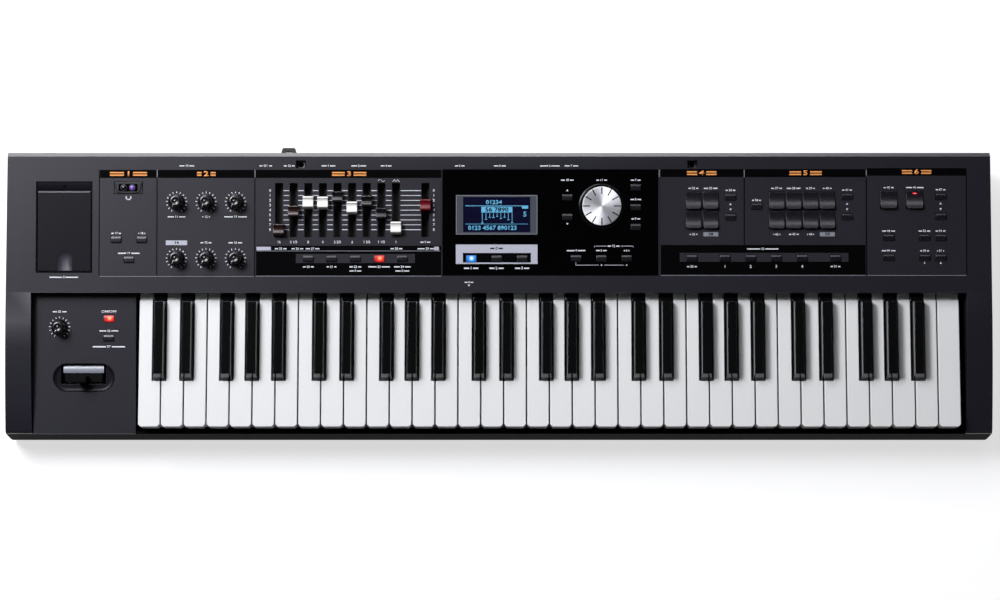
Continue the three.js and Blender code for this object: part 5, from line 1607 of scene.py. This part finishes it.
@dataclass
class CentrePlate:
    """The prints of the glossy centre panel."""

    modes: tuple[float, float, float] = (-28.3, -2.4, 23.7)
    ink: Point = (0.0, 0.1)
    upper_ink: Point = (0.1, 0.2)

    def build(self) -> None:
        """Build the mode plate, its dark slot and the panel's figures."""
        plate = Form(PANEL).slab(-43.9, 39.4, 29.4, 49.2, 0.0, 0.12)
        holes = Form(PANEL).slabs([(x - 5.6, x + 5.6, 31.1, 38.5) for x in self.modes], *CUTTER_SPAN)
        slot = Form(PANEL).slab(-36.7, 32.6, 30.9, 40.6, *self.upper_ink)
        cut_free(holes.piece("plate_cutter", INK_BLACK_AND_PAINTED_SHADE, smooth=False), (plate, "mode_plate", INK_SILVER),
                 (slot, "mode_slot", INK_BLACK_AND_PAINTED_SHADE))
        pen = PanelPrint()
        dark = Form(PANEL)
        pen.label(dark, "0", -2.4, 45.2, 13, 3.0, *self.upper_ink)
        dark.piece("mode_figures", INK_BLACK_AND_PAINTED_SHADE, smooth=False)
        white = Form(PANEL)
        for x, v, span, words in ((78.7, 43.0, 19, "4"), (104.5, 43.0, 11, "5"), (130.2, 43.0, 6, "6"),
                                  (139.6, 115.0, 10, "7"), (139.6, 95.2, 11, "8"), (139.6, 75.4, 9, "9"),
                                  (69.8, 115.0, 13, "10"), (104.8, 115.0, 11, "11"), (117.0, 47.6, 12, "12")):
            pen.label(white, words, x, v, span, 2.3, *self.ink)
        for words, x in zip("123", self.modes):
            pen.label(white, words, x, 25.0, 14.5, 2.7, *self.ink)
        pen.arrows(white, [(69.8, 104.7, 1), (69.8, 70.3, -1)], *self.ink)
        for line in ([(97.5, 46.4), (97.5, 47.6), (109.5, 47.6)],
                     [(124.5, 47.6), (137.0, 47.6), (137.0, 46.4)],
                     [(78.4, 31.0), (78.4, 28.2), (101.5, 28.2)], [(107.5, 28.2), (127.4, 28.2)]):
            white.stroke(line, 0.35, *self.ink)
        for x in (104.5, 130.2):
            white.prism(circle(x, 28.2, 0.7, 12), *self.ink)
        white.piece("centre_figures", INK_WHITE, smooth=False)


@dataclass
class BeamSensor:
    """The beam controller's window: dark housing, one dark eye and one violet lens."""

    left: float = -392.4
    right: float = -363.6
    front: float = 101.0
    rear: float = 113.3

    def build(self) -> None:
        """Build the housing, its lenses and their rings."""
        middle = (self.front + self.rear) / 2
        frame = Form(PANEL)
        steps = 10
        outline: list[Point] = [(self.left, self.rear), (self.left + 0.5, self.rear - 2.6)]
        for i in range(steps + 1):
            share = i / steps
            x = self.left + 2.6 + share * (self.right - self.left - 5.2)
            outline.append((x, self.front + 0.05 + 1.7 * (2 * abs(share - 0.5)) ** 2.6))
        outline += [(self.right - 0.5, self.rear - 2.6), (self.right, self.rear)]
        frame.prism(outline[::-1], 0.0, 1.15, taper=0.02)
        frame.slab(self.left, self.right, self.front, self.rear, -4.6, 0.25)
        made = frame.piece("beam_housing", SWITCH, soft_mm=0.5, steps=3)
        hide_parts("beam_window")
        recess = Form(PANEL).prism(rounded(-388.0, -368.4, middle - 3.7, middle + 3.9, 1.6), 1.1, 1.22)
        recess.piece("beam_recess", GLOSS, smooth=False)
        rings, violet, dark = Form(PANEL), Form(PANEL), Form(PANEL)
        dome = [(2.65, 1.3), (2.5, 1.8), (2.1, 2.2), (1.4, 2.5), (0.7, 2.65), (0.2, 2.7)]
        for x, form in ((-382.6, dark), (-373.9, violet)):
            rings.lathe([(3.5, 1.15), (3.5, 1.5), (3.2, 1.65), (2.6, 1.65)], x, middle, 32)
            form.lathe(dome, x, middle, 32)
        rings.piece("beam_rings", SWITCH)
        violet.piece("beam_lens", LENS_VIOLET)
        dark.piece("beam_eye", LENS)


@dataclass
class MemoryHatch:
    """The hinged cover of the memory slot, the bar behind it and the finger scoop."""

    left: float = -470.6
    right: float = -416.4
    front: float = 22.5
    axis: float = 103.5
    top: float = -0.8
    thickness: float = 2.0
    notch: float = -443.0
    notch_width: float = 15.4
    notch_length: float = 20.0

    def cover(self) -> None:
        """Build the cover with its scooped finger notch."""
        radius = self.notch_width / 2
        end = self.front + self.notch_length - radius
        outline: list[Point] = [(self.left, self.front), (self.notch - radius, self.front)]
        outline += reversed(circle(self.notch, end, radius, 17, 0, 180))
        outline += [(self.notch + radius, self.front), (self.right, self.front), (self.right, self.axis),
                    (self.left, self.axis)]
        form = Form(PANEL).prism(outline, self.top - self.thickness, self.top)
        made = form.piece("memory_cover_plate", COVER_AND_PAINTED_SHADE, "memory_cover", soft_mm=0.35)
        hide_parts("memory_cover")
        # The scoop takes a lighter finish than the cover: painted sheen in the dish.
        scoop = Form(PANEL)
        rows = []
        for i in range(13):
            back = 1 - i / 12
            v = self.front + 0.1 + (1 - back) * (self.notch_length - 0.3)
            over = max(v - end, 0.0)
            half = math.sqrt(max(radius * radius - over * over, 0.3)) + 0.15
            dip = 2.2 * math.sin(math.pi * 0.82 * back ** 0.62)
            rows.append([(self.notch + half * j / 8, v, self.top - 0.2 - dip * (1 - abs(j / 8) ** 2.6))
                         for j in range(-8, 9)])
        scoop.sheet(rows, 0.8)
        scoop.piece("memory_cover_scoop", SCOOP_PAINTED_SHEEN, "memory_cover")
        knuckles = Form(PANEL)
        for radius, step, past in ((1.0, 30, 0.0), (0.6, 45, 1.5)):
            turns = [math.radians(turn) for turn in range(0, 360, step)]
            ring = [(self.axis + radius * math.sin(t), self.top - 1.0 + radius * math.cos(t)) for t in turns]
            knuckles.band(ring, self.left - past, self.right + past)
        knuckles.piece("memory_cover_hinge_roll", SHELL, "memory_cover")

    def build(self) -> None:
        """Build the cover, and the small details of the bar behind it."""
        self.cover()
        line = Form(PANEL).slab(-469.8, -417.2, 102.6, 103.2, -0.82, -0.72)
        line.piece("memory_cover_line", INK_LINE, "memory_cover", smooth=False)
        # Black strips round the cover: painted shade of the gap between the cover and the panel.
        gaps = Form(PANEL).slabs(((-472.3, -471.1, 20.6, 113.6), (-415.9, -414.7, 20.6, 113.6),
                                  (-472.3, -414.7, 20.4, 22.1), (-471.1, -415.9, 113.0, 113.6)), 0.0, 0.08)
        gaps.piece("memory_gap_painted_shade", INK_BLACK_AND_PAINTED_SHADE, smooth=False)
        # The lock hole is a black disc: painted shade for the hole.
        spot = Form(PANEL).lathe([(1.25, -0.3), (1.25, 0.12), (0.9, 0.14)], -443.5, 109.2, 16)
        spot.piece("memory_lock_hole_painted_shade", INK_BLACK_AND_PAINTED_SHADE)


@dataclass
class Bender:
    """The bender's frame, lever, shutter and the pill-shaped dish round them."""

    x: float = -425.0
    dish_ends: Point = (-441.4, -407.2)
    dish_v: float = -85.1
    dish_reach: float = 14.2
    cut: Point = (-4.0, 2.0)

    def build(self, nodes: dict[str, bpy.types.Object]) -> None:
        """Dress the lever, and add its shutter plate and apron and the block's dish. The apron is painted
        shade in the opening, and the dish is darker than the block as painted shade in the recess.

        Args:
            nodes: The frame's nodes.
        """
        dress(nodes["bender_lever"], BENDER_BLACK_AND_PAINTED_SHADE)
        shutter = Form(BLOCK)
        arc = [(-72.9 - 7.5 * i / 8, -3.1 - 0.95 * (2 * abs(i / 8 - 0.5)) ** 2) for i in range(9)]
        shutter.band(arc + [(-80.4, -4.2), (-72.9, -4.2)], self.x - 20.7, self.x + 20.7)
        shutter.piece("bender_shutter_plate", SILVER, "bender_lever")
        # The apron is a black plate under the shutter: painted shade in the opening round the lever.
        apron = [(-19.0, -89.6), (19.0, -89.6), (19.6, -81.6), (18.0, -81.6), (18.0, -80.5), (7.0, -80.5),
                 (5.4, -82.0), (-5.4, -82.0), (-7.0, -80.5), (-18.0, -80.5), (-18.0, -81.6), (-19.6, -81.6)]
        front = Form(BLOCK).prism([(self.x + x, v) for x, v in apron], -4.35, -3.8)
        front.piece("bender_apron_painted_shade", BENDER_BLACK_AND_PAINTED_SHADE, "bender_lever", soft_mm=0.2)
        # The dish's floor and rim take the cover's darker plastic: painted shade in the recess.
        floor = Form(BLOCK).prism(self.pill(self.dish_reach), -1.78, -1.5)
        dish = floor.piece("bender_dish", COVER_AND_PAINTED_SHADE, smooth=False)
        mouth = Form(BLOCK).slab(-448.3, -401.7, -91.8, -71.2, *self.cut)
        cut_away(dish, mouth.piece("mouth_cutter", COVER_AND_PAINTED_SHADE, smooth=False))
        curve = ((self.dish_reach, -1.78), (14.15, -0.12), (13.9, -0.12), (13.3, -0.85), (12.3, -1.25),
                 (11.0, -1.45), (10.2, -1.52), (10.2, -1.78))
        lip = Form(BLOCK).rim([[(x, v, w) for x, v in self.pill(reach)] for reach, w in curve])
        rim = lip.piece("bender_dish_rim", COVER_AND_PAINTED_SHADE)
        gap = Form(BLOCK).slab(-448.6, -401.4, -92.1, -69.0, *self.cut)
        cut_away(rim, gap.piece("rim_cutter", COVER_AND_PAINTED_SHADE, smooth=False))

    def pill(self, reach: float) -> list[Point]:
        """Return the dish's outline, drawn in or out to a radius at its round ends."""
        left, right = self.dish_ends
        return circle(left, self.dish_v, reach, 20, 90, 180) + circle(right, self.dish_v, reach, 20, -90, 180)


@dataclass
class Keybed:
    """The 61 keys on their combs, with rounded white keys and glossy sharps."""

    soft_white: float = 0.7
    soft_black: float = 0.8

    def build(self, nodes: dict[str, bpy.types.Object]) -> None:
        """Give every comb a copy with moulded edges.

        Args:
            nodes: The frame's nodes.
        """
        for node in sorted(nodes):
            if node.startswith("keys_sharps"):
                softened(node, EBONY, self.soft_black, 3)
            elif node.startswith("keys_") or node == "key_top_c":
                softened(node, IVORY, self.soft_white, 3)
        LOG.info("keys dressed")


@dataclass
class Studio:
    """The floor, the lamps and the camera."""

    focal_px: float = 3162.3
    distance: float = 3.3
    climb: float = 82.0
    target: Spot = (0.0, -0.004, 0.002)
    image_width: int = 1000
    shift: Point = (0.0011, 0.0034)
    floor_reach: float = 30.0
    floor_tone: Point = (0.46, 0.49)
    floor_glow: float = 0.66
    room_light: float = 0.04

    def camera(self) -> None:
        """Add the camera at the photograph's height and distance."""
        data = bpy.data.cameras.new("view")
        data.sensor_width = 36.0
        data.lens = self.focal_px / self.image_width * data.sensor_width
        data.shift_x, data.shift_y = self.shift
        data.clip_end = 50.0
        made = bpy.data.objects.new("view", data)
        turn = math.radians(self.climb)
        aim = Vector(self.target)
        made.location = aim + Vector((0, -math.cos(turn), math.sin(turn))) * self.distance
        made.rotation_euler = (aim - made.location).to_track_quat("-Z", "Y").to_euler()
        bpy.context.scene.collection.objects.link(made)
        bpy.context.scene.camera = made

    def lamp(self, name: str, place: Spot, size: Point, power: float, tint: str = "#ffffff",
             aim: Spot = (0, 0, 0.05)) -> None:
        """Add one soft rectangular lamp.

        Args:
            name: The lamp's name.
            place: Where it hangs, in metres.
            size: Its width and height.
            power: Its power in watts.
            tint: Its colour.
            aim: The place it looks at.
        """
        data = bpy.data.lights.new(name, "AREA")
        data.shape = "RECTANGLE"
        data.size, data.size_y = size
        data.energy = power
        data.color = linear(tint)[:3]
        made = bpy.data.objects.new(name, data)
        made.location = place
        made.rotation_euler = (Vector(aim) - Vector(place)).to_track_quat("-Z", "Y").to_euler()
        bpy.context.scene.collection.objects.link(made)

    def floor(self) -> None:
        """Add the pale floor, which keeps the object's shadow and otherwise reads white."""
        data = bpy.data.meshes.new("floor")
        reach = self.floor_reach
        corners = [(-reach, -reach, 0), (reach, -reach, 0), (reach, reach, 0), (-reach, reach, 0)]
        data.from_pydata(corners, [], [(0, 1, 2, 3)])
        made = bpy.data.objects.new("floor", data)
        bpy.context.scene.collection.objects.link(made)
        paper = bpy.data.materials.new("floor_paper")
        paper.use_nodes = True
        tree = paper.node_tree
        tree.nodes.clear()
        fleck = add(tree, "ShaderNodeTexNoise", {"Scale": 60.0, "Detail": 2.0})
        tone = ranged(tree, fleck.outputs[0], end=self.floor_tone)
        matte = add(tree, "ShaderNodeBsdfDiffuse", {"Color": tone})
        path = add(tree, "ShaderNodeLightPath").outputs
        seen = add(tree, "ShaderNodeMath", {0: path["Is Camera Ray"], 1: path["Is Glossy Ray"]},
                   operation="MAXIMUM")
        through = add(tree, "ShaderNodeMath", {0: seen.outputs[0], 1: path["Is Transmission Ray"]},
                      operation="MAXIMUM")
        power = add(tree, "ShaderNodeMath", {0: through.outputs[0], 1: self.floor_glow}, operation="MULTIPLY")
        glow = add(tree, "ShaderNodeEmission", {"Color": linear("#ffffff"), "Strength": power.outputs[0]})
        both = add(tree, "ShaderNodeAddShader", {0: matte.outputs[0], 1: glow.outputs[0]})
        add(tree, "ShaderNodeOutputMaterial", {"Surface": both.outputs[0]})
        made.data.materials.append(paper)

    def world(self) -> None:
        """Add the dim even light of the room."""
        room = bpy.data.worlds.new("room")
        room.use_nodes = True
        back = room.node_tree.nodes["Background"]
        back.inputs["Color"].default_value = linear("#f4f6fa")
        back.inputs["Strength"].default_value = self.room_light
        bpy.context.scene.world = room

    def build(self) -> None:
        """Set up the whole studio."""
        self.camera()
        self.floor()
        self.world()
        self.lamp("key", (-1.05, 1.55, 1.9), (2.1, 0.65), 31.0, "#fbfbff", aim=(-0.1, 0, 0.05))
        self.lamp("strip", (0.1, 1.32, 2.3), (2.6, 0.2), 8.0, "#f8f8ff", aim=(0.0, 0.05, 0.08))
        self.lamp("sheen", (-1.2, 0.75, 2.15), (0.8, 0.7), 52.0, "#f6f7ff", aim=(-0.4, 0.05, 0.05))
        self.lamp("rim", (-0.45, 2.4, 0.17), (1.8, 0.3), 60.0, "#fbfbff", aim=(-0.3, 0, 0.09))
        self.lamp("front", (0.8, -2.2, 1.7), (1.6, 0.7), 1.0)
        view = bpy.context.scene.view_settings
        view.view_transform = "Standard"
        view.look = "None"
        view.exposure = 0.0


def main() -> None:
    """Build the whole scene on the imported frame."""
    logging.basicConfig(level=logging.INFO, format="%(message)s")
    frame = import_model()
    nodes = frame["nodes"]
    Studio().build()
    Casing().build(nodes)
    PanelPrint().build()
    CentrePlate().build()
    ButtonCaps().build()
    for node, (x, v) in KNOBS.items():
        Knob(node, x, v).build()
    Knob("volume_knob", *VOLUME, face=BLOCK).build()
    ValueDial().build()
    finishes = [CAP_BROWN, CAP_BROWN, CAP_WHITE, CAP_WHITE, CAP_BLACK, CAP_WHITE, CAP_BLACK, CAP_BLACK,
                CAP_WHITE]
    for i, finish in enumerate(finishes):
        Drawbar(f"drawbar_{i + 1}", SLOT_X[i], SETTINGS[i], finish).build()
    Drawbar("level_slider", SLOT_X[9], SETTINGS[9], CAP_RED).build()
    Display().build(nodes)
    BeamSensor().build()
    MemoryHatch().build()
    Bender().build(nodes)
    Keybed().build(nodes)


if __name__ == "__main__":
    main()
